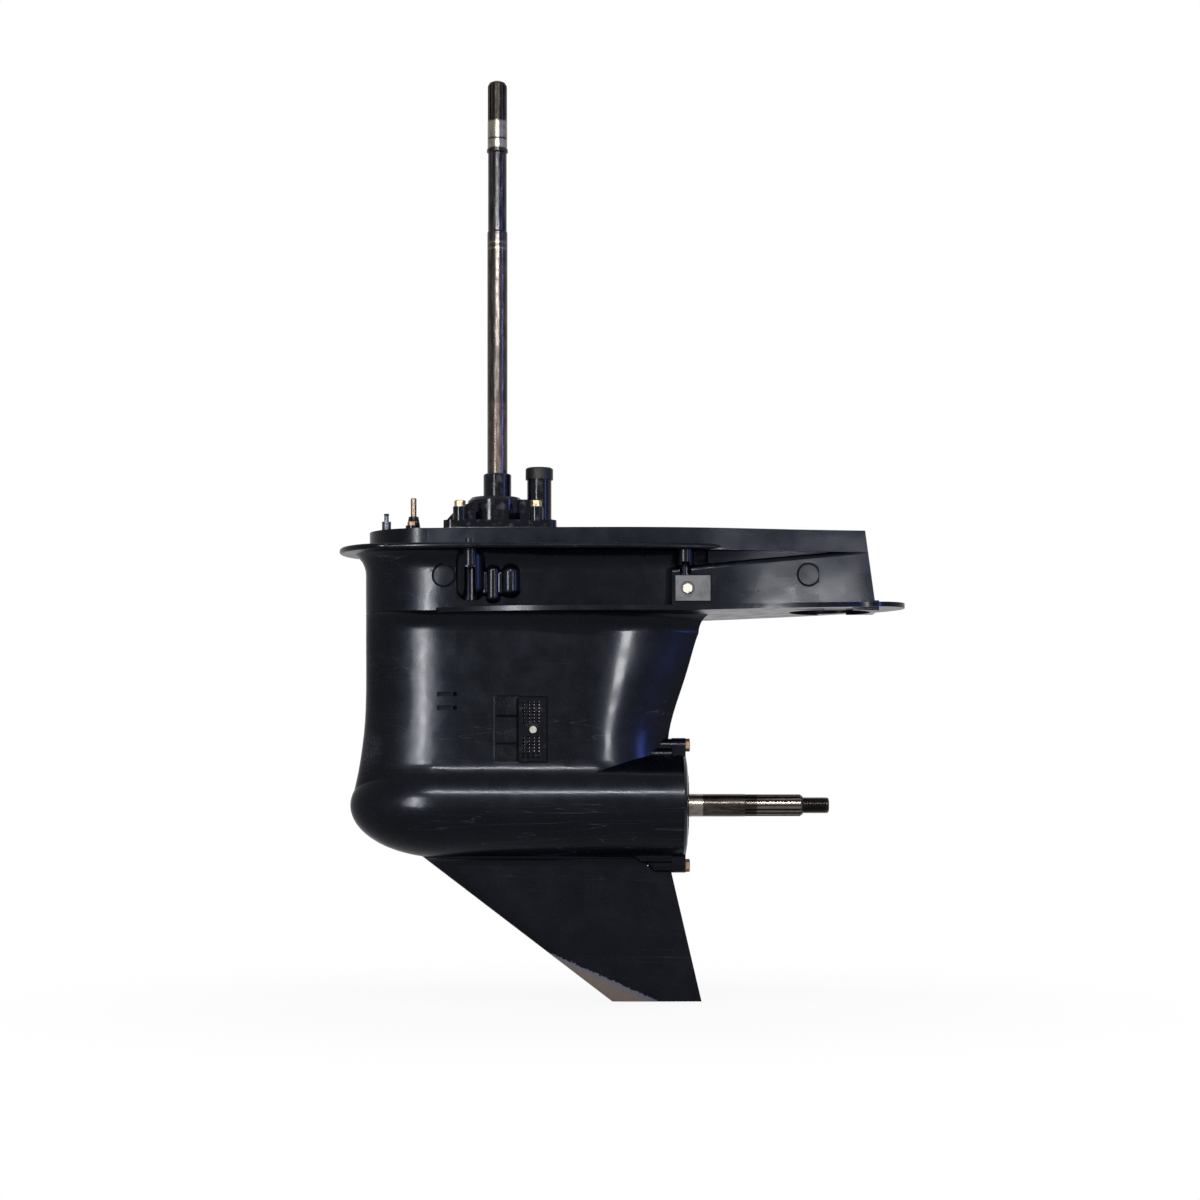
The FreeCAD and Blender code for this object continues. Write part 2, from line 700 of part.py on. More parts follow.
def make_torpedo():
    """Round gear housing: an elliptic nose on a straight barrel."""
    start_x = TORPEDO_NOSE_X + TORPEDO_NOSE_RUN
    tip = V(TORPEDO_NOSE_X, 0, PROP_Z)
    crown = V(start_x, 0, PROP_Z + TORPEDO_R)
    curve = Part.Ellipse(tip, crown, V(start_x, 0, PROP_Z))
    ends = sorted((curve.parameter(tip), curve.parameter(crown)))
    arc = Part.ArcOfEllipse(curve, ends[0], ends[1])
    if abs(arc.value((arc.FirstParameter + arc.LastParameter) / 2).z - PROP_Z) > TORPEDO_R:
        arc = Part.ArcOfEllipse(curve, ends[1], ends[0])
    aft_top = V(TORPEDO_AFT_X, 0, PROP_Z + TORPEDO_R)
    aft_middle = V(TORPEDO_AFT_X, 0, PROP_Z)
    lines = [Part.LineSegment(crown, aft_top), Part.LineSegment(aft_top, aft_middle),
             Part.LineSegment(aft_middle, tip)]
    edges = [arc.toShape()] + [line.toShape() for line in lines]
    face = Part.Face(Part.Wire(Part.__sortEdges__(edges)))
    return face.revolve(PROP_BASE, AXIS_X, 360)


def skeg_outline(z, half):
    lead = SKEG_LEAD_BOTTOM_X - SKEG_LEAD_SLOPE * (z - SKEG_BOTTOM_Z)
    tail = SKEG_TAIL_BOTTOM_X - SKEG_TAIL_SLOPE * (z - SKEG_BOTTOM_Z)
    nose_x = lead + SKEG_NOSE_SHARE * (tail - lead)
    middle_x = lead + SKEG_FLAT_SHARE * (tail - lead)
    thin = half * SKEG_TAIL_SHARE
    edges = [half_ellipse(nose_x, half, lead, z)]
    for side in SIDES:
        middle = V(middle_x, side * half, z)
        edges.append(Part.LineSegment(V(nose_x, side * half, z), middle).toShape())
        edges.append(Part.LineSegment(middle, V(tail, side * thin, z)).toShape())
    edges.append(Part.LineSegment(V(tail, -thin, z), V(tail, thin, z)).toShape())
    return Part.Wire(Part.__sortEdges__(edges))


def make_skeg():
    root_z = PROP_Z - TORPEDO_R + 9.0
    foot_z = PROP_Z - TORPEDO_R - SKEG_FILLET
    blade = Part.makeLoft([skeg_outline(foot_z, SKEG_ROOT_HALF),
                           skeg_outline(SKEG_BOTTOM_Z, SKEG_TIP_HALF)], True, True)
    sections = []
    for step in range(5):
        turn = math.radians(20.0 * step)
        z = foot_z + SKEG_FILLET * math.sin(turn)
        sections.append(skeg_outline(z, SKEG_ROOT_HALF + SKEG_FILLET * (1 - math.cos(turn))))
    sections.append(skeg_outline(root_z, SKEG_ROOT_HALF + SKEG_FILLET))
    return [blade, Part.makeLoft(sections, True, True)]


def make_bolt_ears():
    """Rounded bosses above and below the torpedo that take the carrier's bolts."""
    ears = []
    top = CARRIER_EAR_R - 0.8
    for up in SIDES:
        for half, start_x, knee_x, level in ((EAR_HALF, EAR_START_X, EAR_KNEE_X, EAR_LEVEL),
                                             (EAR_HALF - 7.0, EAR_KNEE_X - 26.0, EAR_KNEE_X + 14.0, top)):
            foot = TORPEDO_R * 0.55
            profile = [(start_x, foot), (knee_x, level), (TORPEDO_AFT_X, level), (TORPEDO_AFT_X, foot)]
            points = [V(x, -half, PROP_Z + up * h) for x, h in profile]
            ear = prism(points, V(0, 2 * half, 0))
            rim = [e for e in ear.Edges if abs(e.CenterOfMass.y) > half - 0.1
                   and up * (e.CenterOfMass.z - PROP_Z) > foot + 5.0 and e.BoundBox.XLength > 5.0]
            ears.append(ear.makeFillet(EAR_ROUND, rim))
    return ears


def cast_pad(x, z, wall):
    """Round cast pad: a ring groove cut into the side wall."""
    inner_r = PAD_R - PAD_GROOVE
    return [tube(PAD_R, inner_r, 8.0, V(x, side * (wall + 6.0), z), AXIS_Y * -side) for side in SIDES]


def bulge(x, y, radius, foot_z, top_z):
    """Upright swelling of the wall, well rounded above and below."""
    column = cylinder(radius, top_z - foot_z + 2 * radius, V(x, y, foot_z - radius))
    rims = [e for e in column.Edges if e.BoundBox.ZLength < 0.01]
    return column.makeFillet(radius * 0.8, rims)


def make_side_details():
    """Bulges round the front bolts and the columns under the splash plate."""
    adds = []
    for side in SIDES:
        y = side * BULGE_Y
        adds.append(bulge(BOLT_FRONT_X, y, BOLT_BULGE_R, BULGE_FOOT_Z, BULGE_TOP_Z + 15.0))
        adds.append(bulge(SMALL_BULGE_X, y + side, SMALL_BULGE_R, BULGE_FOOT_Z - 12.0, BULGE_TOP_Z))
        adds.append(bulge(WIDE_BULGE_X, y, WIDE_BULGE_R, BULGE_FOOT_Z - 3.0, BULGE_TOP_Z - 2.0))
        for x in (SMALL_BULGE_X - SMALL_BULGE_R, SMALL_BULGE_X + SMALL_BULGE_R):
            adds.append(bulge(x, y + 0.5 * side, BULGE_SADDLE_R, BULGE_FOOT_Z - 6.0, BULGE_TOP_Z - 3.0))
        for x in (BOLT_FRONT_X, BOLT_AFT_X):
            adds.append(cylinder(BOLT_PILLAR_R, 30.0, V(x, side * BOLT_Y, BOLT_PILLAR_Z)))
    return adds


def rounded_block(x0, x1, half, z0, z1, corner_r):
    """Block about the middle plane with its four upright edges rounded."""
    shape = block(x0, x1, -half, half, z0, z1)
    upright = [e for e in shape.Edges if e.BoundBox.XLength < 0.01 and e.BoundBox.YLength < 0.01]
    return shape.makeFillet(corner_r, upright)


def deck_cuts():
    """Pockets, passages and holes that open at the deck."""
    top = 5.0
    cuts = [rounded_block(POCKET_FRONT_X, POCKET_AFT_X, POCKET_HALF, POCKET_FLOOR_Z, top, POCKET_CORNER_R)]
    cuts.append(cylinder(UPPER_BEARING_R, top - UPPER_BEARING_Z, V(0, 0, UPPER_BEARING_Z)))
    tunnel_z = PINION_BEARING_Z + PINION_BEARING_LENGTH
    cuts.append(cylinder(TUNNEL_R, top - tunnel_z, V(0, 0, tunnel_z)))
    cuts.append(cylinder(NEEDLE_SHELL_R, PINION_BEARING_LENGTH + 4.0, V(0, 0, PINION_BEARING_Z - 4.0)))
    cuts.append(cylinder(PINION_BORE_R, PINION_BORE_TOP_Z - PROP_Z, PROP_BASE))
    cuts.append(rounded_block(EXHAUST_X, EXHAUST_AFT_X, EXHAUST_HALF, EXHAUST_FLOOR_Z, top,
                              EXHAUST_CORNER_R))
    half = EXHAUST_STRUT_HALF
    foot_z = PROP_Z + TORPEDO_R / 2
    flank_points = [V(EXHAUST_X, half, foot_z), V(EXHAUST_TAPER_X, half, foot_z),
                    V(EXHAUST_STRUT_AFT_X, half * 0.45, foot_z)]
    passage = flank_points + [V(p.x, -p.y, p.z) for p in reversed(flank_points)]
    cuts.append(prism(passage, V(0, 0, EXHAUST_FLOOR_Z - foot_z)))
    rear = rounded_block(EXHAUST_AFT_X + 12.0, AFT_TOP_X - 10.0, REAR_WELL_HALF, EXHAUST_FLOOR_Z, top,
                         REAR_WELL_CORNER_R)
    boss_height = TRIM_BOSS_TOP_Z - EXHAUST_FLOOR_Z + 1
    cuts.append(rear.cut(cylinder(TRIM_BOSS_R, boss_height, V(TRIM_TAB_X, 0, EXHAUST_FLOOR_Z - 1))))
    cuts.append(block(WATER_X, WATER_X + WATER_LENGTH, -WATER_HALF, WATER_HALF, INLET_TOP_Z - 2, top))
    inlet_half = STRUT_HALF - INLET_DEPTH
    cuts.append(block(INLET_X + 2, INLET_X + INLET_LENGTH - 2, -inlet_half, inlet_half,
                      INLET_FOOT_Z + 10, INLET_TOP_Z - 3))
    for side in SIDES:
        for x in (BOLT_FRONT_X, BOLT_AFT_X):
            cuts.append(cylinder(BOLT_HOLE_R, 60.0, V(x, side * BOLT_Y, -50.0)))
        for x in (PUMP_BOLT_FRONT_X, PUMP_BOLT_AFT_X):
            foot = V(x, side * PUMP_BOLT_Y, PUMP_BOLT_FOOT_Z - 1.0)
            cuts.append(cylinder(PUMP_BOLT_R, top - PUMP_BOLT_FOOT_Z, foot))
    cuts.append(cylinder(SHIFT_LOWER_R + FIT_GAP, 2.0 - CRANK_TOP_Z, V(SHIFT_X, 0, CRANK_TOP_Z - 2)))
    cuts.append(cylinder(RETAINER_R + FIT_GAP, 20.0, V(SHIFT_X, 0, RETAINER_SEAT_Z)))
    cuts.append(cylinder(RETAINER_EAR_R + FIT_GAP, 20.0, V(SHIFT_X, RETAINER_BOLT_Y, RETAINER_SEAT_Z)))
    cuts.append(cylinder(PUMP_BOLT_R, 30.0, V(SHIFT_X, RETAINER_BOLT_Y, RETAINER_SEAT_Z - 14.0)))
    cuts.append(cylinder(NIPPLE_BASE_R + FIT_GAP, 20.0, V(NIPPLE_X, 0, NIPPLE_SEAT_Z)))
    return cuts


def torpedo_cuts():
    """Stepped bore for the gear train, from the aft end forwards."""
    cuts = []
    for radius, start_x, end_x in ((GEAR_BORE_R, GEAR_BORE_FRONT_X, TORPEDO_AFT_X + 5),
                                   (FRONT_BEARING_R, FRONT_BEARING_END_X, GEAR_BORE_FRONT_X + 1),
                                   (SLIDER_BORE_R, SLIDER_BORE_END_X, FRONT_BEARING_END_X + 1)):
        cuts.append(cylinder(radius, end_x - start_x, PROP_BASE + V(start_x, 0, 0), AXIS_X))
    cuts.append(cylinder(CRANK_R + 1.0, CRANK_TOP_Z + 1.0 - PROP_Z, V(SHIFT_X, 0, PROP_Z)))
    for up in SIDES:
        at = V(TORPEDO_AFT_X - 28.0, 0, PROP_Z + up * CARRIER_BOLT_OFFSET)
        cuts.append(cylinder(CARRIER_BOLT_R, 40.0, at, AXIS_X))
    return cuts


def scoop_cut():
    """Ramp that leads water to the starboard inlet, crossed by two thin ribs."""
    wall = STRUT_HALF
    floor = wall - INLET_DEPTH
    end_x = INLET_X + INLET_LENGTH + 2
    outside = wall + 20
    corners = [(SCOOP_FRONT_X, wall), (INLET_X, floor), (end_x, floor), (end_x, outside),
               (SCOOP_FRONT_X, outside)]
    low_z = INLET_FOOT_Z - 2
    scoop = prism([V(x, y, low_z) for x, y in corners], V(0, 0, INLET_TOP_Z + 2 - low_z))
    ribs = []
    for up in SIDES:
        z = INLET_MIDDLE_Z + up * SCOOP_RIB
        ribs.append(block(SCOOP_FRONT_X - 1, INLET_X - 0.5, floor - 5, wall - 0.6, z - SCOOP_RIB_HALF,
                          z + SCOOP_RIB_HALF))
    return scoop.cut(Part.makeCompound(ribs))


def side_cuts():
    """Water inlets, anode seats, pads, pilot slots and wrench channels."""
    seat_y = AFT_BOX_HALF - ANODE_SINK
    play = 0.6
    starboard = [scoop_cut(),
                 block(INLET_X + 2, INLET_X + INLET_LENGTH - 2, EXHAUST_STRUT_HALF - 1,
                       STRUT_HALF - INLET_DEPTH + 1, INLET_FOOT_Z + 3, INLET_TOP_Z - 3),
                 block(ANODE_X - play, ANODE_X + ANODE_LENGTH + play, seat_y, AFT_BOX_HALF + 20,
                       ANODE_TOP_Z - ANODE_HEIGHT - play, ANODE_TOP_Z + play),
                 cylinder(ANODE_BOLT_R, 20.0, V(ANODE_BOLT_X, seat_y - 12, ANODE_BOLT_Z), AXIS_Y),
                 cylinder(WRENCH_FRONT_R, 44.0, V(BOLT_FRONT_X, BOLT_Y + 1.5, PLATE_Z + 6.0)),
                 cylinder(WRENCH_AFT_R, 14.0, V(BOLT_AFT_X, BOLT_Y + 3.0, -52.0))]
    cuts = starboard + [mirrored_y(cut) for cut in starboard]
    for x, wall, z in OIL_SCREWS:
        cuts.append(cylinder(OIL_SCREW_R, 30.0, V(x, wall - 14.0, z), AXIS_Y))
        cuts.append(cylinder(OIL_HEAD_R + 1.0, 30.0, V(x, wall - 1.0, z), AXIS_Y))
    cuts += cast_pad(FRONT_PAD_X, FRONT_PAD_Z, WAIST_HALF - 5.5)
    cuts += cast_pad(AFT_PAD_X, AFT_PAD_Z, AFT_BOX_HALF - 17.5)
    outside = -STRUT_HALF - 14.0
    for z in PILOT_SLOTS_Z:
        cuts.append(block(PILOT_SLOT_FRONT_X, PILOT_SLOT_END_X, outside, PILOT_DEPTH - STRUT_HALF,
                          z - PILOT_HOLE_R, z + PILOT_HOLE_R))
        cuts.append(cylinder(PILOT_HOLE_R, 30.0, V(PILOT_HOLE_X, outside, z), AXIS_Y))
    return cuts


def make_housing():
    solids = make_strut() + make_waist() + make_skeg() + make_bolt_ears() + make_side_details()
    solids += [make_deck(), make_splash_plate(), make_ventilation_plate(), make_aft_wall(), make_aft_box(),
               make_torpedo()]
    body = joined(solids[0], *solids[1:])
    slope = (AFT_FOOT_X - AFT_TOP_X) / (PLATE_Z + PLATE_RISE)
    top_z = 10.0
    foot_z = PLATE_Z + 15.0
    reach = PLATE_HALF * 1.5
    behind = [V(AFT_TOP_X + slope * top_z, -reach, top_z), V(AFT_TOP_X + 60, -reach, top_z),
              V(AFT_TOP_X + 60, -reach, foot_z), V(AFT_TOP_X + slope * foot_z, -reach, foot_z)]
    body = body.cut(prism(behind, V(0, 2 * reach, 0)))
    cuts = deck_cuts() + torpedo_cuts() + side_cuts()
    cuts.append(cylinder(TRIM_TAB_R, 10.0, V(TRIM_TAB_X, 0, TRIM_TAB_FLOOR_Z - 10.0)))
    cuts.append(cylinder(TRIM_BOLT_R, TRIM_BOSS_TOP_Z - TRIM_TAB_FLOOR_Z + 4.0,
                         V(TRIM_TAB_X, 0, TRIM_TAB_FLOOR_Z - 2.0)))
    return drilled(body, cuts)


CONE_DISTANCE = MODULE * math.hypot(PINION_TEETH, GEAR_TEETH) / 2


def involute(angle):
    return math.tan(angle) - angle


def tooth_half_outline(teeth, cone_angle):
    """Height above the pitch line and half width of a bevel tooth, on its back cone."""
    pitch_r = MODULE * teeth / 2 / math.cos(cone_angle)
    base_r = pitch_r * math.cos(PRESSURE_ANGLE)
    root_r = pitch_r - (DEDENDUM + 0.3) * MODULE
    tip_r = pitch_r + ADDENDUM * MODULE
    half_angle = (math.pi * MODULE / 2 - BACKLASH) / 2 / pitch_r + involute(PRESSURE_ANGLE)
    points = []
    start_r = max(base_r, root_r + 0.5)
    for radius in (root_r, start_r, pitch_r - 0.2 * MODULE, pitch_r + 0.35 * MODULE, tip_r):
        slope = math.acos(min(1.0, base_r / radius)) if radius > base_r else 0.0
        turn = half_angle - involute(slope)
        points.append((radius * math.cos(turn) - pitch_r, radius * math.sin(turn)))
    return points


def bevel_teeth(teeth, cone_angle, outward, first_turn):
    """Straight teeth that all point at the apex, where the two shafts' axes meet."""
    half = tooth_half_outline(teeth, cone_angle)
    shrink = (CONE_DISTANCE - FACE_WIDTH) / CONE_DISTANCE
    radial = AXIS_X if abs(outward.x) < 0.5 else AXIS_Z
    pitch_point = (outward * math.cos(cone_angle) + radial * math.sin(cone_angle)) * CONE_DISTANCE
    up = radial * math.cos(cone_angle) - outward * math.sin(cone_angle)
    across = outward.cross(radial)
    corners = [pitch_point + up * h - across * w for h, w in half]
    corners += [pitch_point + up * h + across * w for h, w in reversed(half)]
    wires = []
    for scale in (1.0, shrink):
        ends = [PROP_BASE + c * scale for c in corners]
        wires.append(Part.makePolygon(ends + [ends[0]]))
    tooth = Part.makeLoft(wires, True, True)
    tooth.rotate(PROP_BASE, outward, first_turn)
    return around(tooth, teeth, PROP_BASE, outward)


def root_cone(teeth, cone_angle):
    """Outer and inner ends of the root cone, as (along the axis, radius).

    The blank runs a little past the teeth at both ends, so that they stand on its cone."""
    depth = DEDENDUM * MODULE
    along = CONE_DISTANCE * math.cos(cone_angle) + depth * math.sin(cone_angle)
    radius = CONE_DISTANCE * math.sin(cone_angle) - depth * math.cos(cone_angle)
    grow = (CONE_DISTANCE + BLANK_OVERRUN) / CONE_DISTANCE
    shrink = (CONE_DISTANCE - FACE_WIDTH - BLANK_OVERRUN) / CONE_DISTANCE
    return (along * grow, radius * grow), (along * shrink, radius * shrink)


GEAR_CONE = math.atan2(GEAR_TEETH, PINION_TEETH)
PINION_CONE = math.atan2(PINION_TEETH, GEAR_TEETH)


def claw_ring(count, first_turn, start_x, length):
    """Square-cut claws standing on an end face, evenly spaced about the shaft."""
    ring = tube(DOG_R, DOG_CLAW_IN_R, length, PROP_BASE + V(start_x, 0, 0), AXIS_X)
    half = math.radians(DOG_CLAW_DEG / 2)
    reach = DOG_R * 1.5
    apex = PROP_BASE + V(start_x - 1, 0, 0)
    corners = [apex]
    for side in SIDES:
        corners.append(apex + V(0, side * reach * math.sin(half), reach * math.cos(half)))
    claw = ring.common(prism(corners, V(length + 2, 0, 0)))
    claw.rotate(PROP_BASE, AXIS_X, first_turn)
    return around(claw, count, PROP_BASE, AXIS_X)


def big_gear(side, hub_end, bore_r):
    """Forward or reverse gear: bevel crown, hub and clutch claws."""
    outward = AXIS_X * side
    outer, inner = root_cone(GEAR_TEETH, GEAR_CONE)
    profile = [inner, outer, (outer[0] + 3.0, outer[1] - 1.5), (GEAR_BACK, GEAR_BACK_R),
               (GEAR_BACK, GEAR_HUB_R), (hub_end, GEAR_HUB_R), (hub_end, bore_r), (GEAR_CLAW_ROOT, bore_r),
               (GEAR_CLAW_ROOT, DOG_R + 1.5)]
    body = revolved(profile, PROP_BASE, outward, AXIS_Z)
    teeth = bevel_teeth(GEAR_TEETH, GEAR_CONE, outward, 180.0 / GEAR_TEETH)
    claw_pitch = 360.0 / DOG_CLAWS
    length = GEAR_CLAW_ROOT - GEAR_CLAW_TIP
    start = GEAR_CLAW_TIP if side > 0 else -GEAR_CLAW_ROOT
    claws = claw_ring(DOG_CLAWS, claw_pitch / 2, start, length)
    return joined(body, *(teeth + claws))


def make_pinion():
    outer, inner = root_cone(PINION_TEETH, PINION_CONE)
    bottom = inner[0]
    profile = [(bottom, DRIVE_SEAT_R + SEAT_GAP), inner, outer, (outer[0] + 2.0, PINION_HUB_R),
               (PINION_HUB_END, PINION_HUB_R), (PINION_HUB_END, DRIVE_SEAT_R + SEAT_GAP)]
    body = revolved(profile, PROP_BASE, AXIS_Z, AXIS_X)
    return joined(body, *bevel_teeth(PINION_TEETH, PINION_CONE, AXIS_Z, 0.0))


def pinion_foot_z():
    return PROP_Z + root_cone(PINION_TEETH, PINION_CONE)[1][0]


def make_pinion_nut():
    at = V(0, 0, pinion_foot_z() - PINION_NUT_HEIGHT)
    nut = hexagon(PINION_NUT_FLATS, PINION_NUT_HEIGHT, at, AXIS_Z)
    return nut.cut(cylinder(DRIVE_THREAD_R, PINION_NUT_HEIGHT + 2, at - AXIS_Z))


def grooves(count, radius, depth, width, start, length, base, axis_of_turn, radial):
    """Cutters for the grooves between the teeth of a spline."""
    across = axis_of_turn.cross(radial)
    end_face = base + axis_of_turn * start
    floor = end_face + radial * (radius - depth)
    mouth = end_face + radial * (radius + 2)
    corners = [floor - across * (width / 2), floor + across * (width / 2),
               mouth + across * (width * 0.7), mouth - across * (width * 0.7)]
    return around(prism(corners, axis_of_turn * length), count, base, axis_of_turn)


def make_drive_shaft():
    foot = DRIVE_FOOT_Z
    profile = [(foot, 0), (foot, DRIVE_THREAD_R), (pinion_foot_z(), DRIVE_THREAD_R),
               (pinion_foot_z(), DRIVE_SEAT_R), (PROP_Z + PINION_HUB_END, DRIVE_SEAT_R),
               (PROP_Z + PINION_HUB_END, DRIVE_LOWER_R), (DRIVE_SHOULDER_Z, DRIVE_LOWER_R),
               (DRIVE_SHOULDER_Z + 2, DRIVE_MAIN_R), (DRIVE_RELIEF_Z, DRIVE_MAIN_R),
               (DRIVE_RELIEF_Z + 2, DRIVE_RELIEF_R), (DRIVE_COLLAR_Z, DRIVE_RELIEF_R),
               (DRIVE_COLLAR_Z + 1.5, DRIVE_COLLAR_R), (DRIVE_BAND_Z - 1.5, DRIVE_COLLAR_R),
               (DRIVE_BAND_Z, DRIVE_TOP_R), (DRIVE_SPLINE_Z, DRIVE_TOP_R),
               (DRIVE_SPLINE_Z, DRIVE_SPLINE_R), (DRIVE_TOP_Z - 6, DRIVE_SPLINE_R),
               (DRIVE_TOP_Z - 2, DRIVE_SPLINE_R - 2.0), (DRIVE_TOP_Z, DRIVE_SPLINE_R - 6.0),
               (DRIVE_TOP_Z, 0)]
    shaft = turned_z(profile)
    cuts = grooves(DRIVE_SPLINES, DRIVE_SPLINE_R, 1.4, 1.7, DRIVE_SPLINE_Z + 1.0,
                   DRIVE_TOP_Z - DRIVE_SPLINE_Z, V(0, 0, 0), AXIS_Z, AXIS_X)
    cuts.append(make_key())
    return drilled(shaft, cuts)


def make_key():
    """Flat key between the shaft and the impeller's hub."""
    return block(DRIVE_MAIN_R - KEY_SINK, DRIVE_MAIN_R + KEY_PROUD, -KEY_PROUD, KEY_PROUD,
                 IMPELLER_Z + 2, IMPELLER_Z + IMPELLER_HEIGHT - 2)


def make_propeller_shaft():
    profile = [(PROP_FRONT_X, 0), (PROP_FRONT_X, PROP_NOSE_R), (PROP_STEP_X, PROP_NOSE_R),
               (PROP_STEP_X, PROP_MAIN_R), (PROP_SEAL_END_X, PROP_MAIN_R),
               (PROP_SEAL_END_X + 1.5, PROP_TAPER_R), (PROP_SEAL_END_X + 12, PROP_SEAT_R),
               (PROP_SPLINE_X, PROP_SEAT_R), (PROP_SPLINE_X + 1, PROP_SPLINE_R),
               (PROP_SPLINE_END_X - 3, PROP_SPLINE_R), (PROP_SPLINE_END_X, PROP_SPLINE_R - 2.2),
               (PROP_SPLINE_END_X + 1, PROP_THREAD_R), (PROP_END_X - 1.5, PROP_THREAD_R),
               (PROP_END_X, PROP_THREAD_R - 1.5), (PROP_END_X, 0)]
    shaft = turned_x(profile)
    cuts = grooves(PROP_SPLINES, PROP_SPLINE_R, 1.9, 2.0, PROP_SPLINE_X,
                   PROP_SPLINE_END_X - PROP_SPLINE_X + 1, PROP_BASE, AXIS_X, AXIS_Z)
    bore_start = PROP_FRONT_X - 5
    bore_end = PLUNGER_END_X + CLUTCH_TRAVEL + 1.0
    cuts.append(cylinder(PLUNGER_BORE_R, bore_end - bore_start, PROP_BASE + V(bore_start, 0, 0), AXIS_X))
    reach = CLUTCH_TRAVEL + CLUTCH_PIN_R + FIT_GAP
    half = CLUTCH_PIN_R + RUN_GAP
    cuts.append(block(-reach, reach, -20, 20, PROP_Z - half, PROP_Z + half))
    return drilled(shaft, cuts)


def make_clutch_dog():
    """Sliding sleeve with claws on both ends and a groove for its spring."""
    front = PROP_BASE - AXIS_X * DOG_HALF_LENGTH
    body = tube(DOG_R, PROP_MAIN_R + RUN_GAP, 2 * DOG_HALF_LENGTH, front, AXIS_X)
    claw = DOG_CLAW_TIP - DOG_HALF_LENGTH
    claws = claw_ring(DOG_CLAWS, 0.0, DOG_HALF_LENGTH, claw)
    claws += claw_ring(DOG_CLAWS, 0.0, -DOG_CLAW_TIP, claw)
    half = CLUTCH_PIN_R
    groove = tube(DOG_R + 1, DOG_R - DOG_SPRING_WIRE - 0.2, 2 * half, PROP_BASE - AXIS_X * half, AXIS_X)
    return drilled(joined(body, *claws), [groove, clutch_pin_solid()])


def clutch_pin_solid():
    half = DOG_R - DOG_SPRING_WIRE - 0.4
    return cylinder(CLUTCH_PIN_R, 2 * half, V(0, -half, PROP_Z), AXIS_Y)


def make_dog_spring():
    """Flat coil that keeps the cross pin in the dog."""
    pitch = DOG_SPRING_WIRE + 0.3
    radius = DOG_R - DOG_SPRING_WIRE / 2 - 0.1
    half = DOG_SPRING_WIRE / 2 - 0.05
    helix = Part.makeHelix(pitch, pitch * DOG_SPRING_TURNS, radius)
    corners = [V(radius + a * half, 0, b * half) for a, b in ((-1, -1), (1, -1), (1, 1), (-1, 1))]
    wire = Part.makePolygon(corners + [corners[0]])
    spring = Part.Wire(helix.Edges).makePipeShell([wire], True, True)
    spring.translate(V(0, 0, -pitch * DOG_SPRING_TURNS / 2))
    spring.rotate(V(0, 0, 0), AXIS_Y, 90)
    spring.translate(PROP_BASE)
    return spring


def make_plunger():
    """Rod that carries the slider's motion to the cross pin."""
    start = SLIDER_CUP_X + 2.5
    bore_r = PLUNGER_BORE_R - 0.1
    profile = [(start, 0), (start, PLUNGER_HEAD_R), (start + 5.0, PLUNGER_HEAD_R),
               (start + 5.0, PLUNGER_NECK_R), (SLIDER_CUP_END_X + 1.0, PLUNGER_NECK_R),
               (SLIDER_CUP_END_X + 1.0, bore_r), (PLUNGER_END_X, bore_r), (PLUNGER_END_X, 0)]
    return turned_x(profile).cut(clutch_pin_solid())


def make_slider():
    """Spool that the shift crank moves, with a cup round the plunger's head."""
    near = SHIFT_X - SPOOL_SLOT / 2
    far = SHIFT_X + SPOOL_SLOT / 2
    cavity_r = PLUNGER_HEAD_R + 0.3
    profile = [(SLIDER_FRONT_X, 0), (SLIDER_FRONT_X, SPOOL_R), (near, SPOOL_R), (near, SPOOL_CORE_R),
               (far, SPOOL_CORE_R), (far, SPOOL_R), (SLIDER_CUP_X, SPOOL_R), (SLIDER_CUP_X, SLIDER_CUP_R),
               (SLIDER_CUP_END_X, SLIDER_CUP_R), (SLIDER_CUP_END_X, PLUNGER_NECK_R + FIT_GAP),
               (SLIDER_CUP_END_X - 2, PLUNGER_NECK_R + FIT_GAP), (SLIDER_CUP_END_X - 2, cavity_r),
               (SLIDER_CUP_X + 2, cavity_r), (SLIDER_CUP_X + 2, 0)]
    return turned_x(profile)


def make_shift_rod():
    """Rod with a crank at its foot, whose pin rides in the spool's slot."""
    disc_low = CRANK_TOP_Z - CRANK_THICK
    neck_z = RETAINER_SEAT_Z - 1.0
    rod = cylinder(SHIFT_LOWER_R, neck_z - CRANK_TOP_Z, V(SHIFT_X, 0, CRANK_TOP_Z))
    top = cylinder(SHIFT_ROD_R, SHIFT_ROD_TOP_Z - neck_z, V(SHIFT_X, 0, neck_z))
    edge = [e for e in top.Edges if e.BoundBox.ZMin > SHIFT_ROD_TOP_Z - 0.1 and e.BoundBox.XLength > 1]
    top = top.makeChamfer(0.9, edge)
    disc = cylinder(CRANK_R, CRANK_THICK, V(SHIFT_X, 0, disc_low))
    pin = cylinder(CRANK_PIN_R, disc_low - PROP_Z + 2.0, V(SHIFT_X, -CRANK_OFFSET, PROP_Z - 2.0))
    rod = joined(rod, top, disc, pin)
    cuts = grooves(12, SHIFT_ROD_R, 0.7, 0.7, SHIFT_ROD_TOP_Z - 24, 26.0, V(SHIFT_X, 0, 0), AXIS_Z, AXIS_X)
    return drilled(rod, cuts)


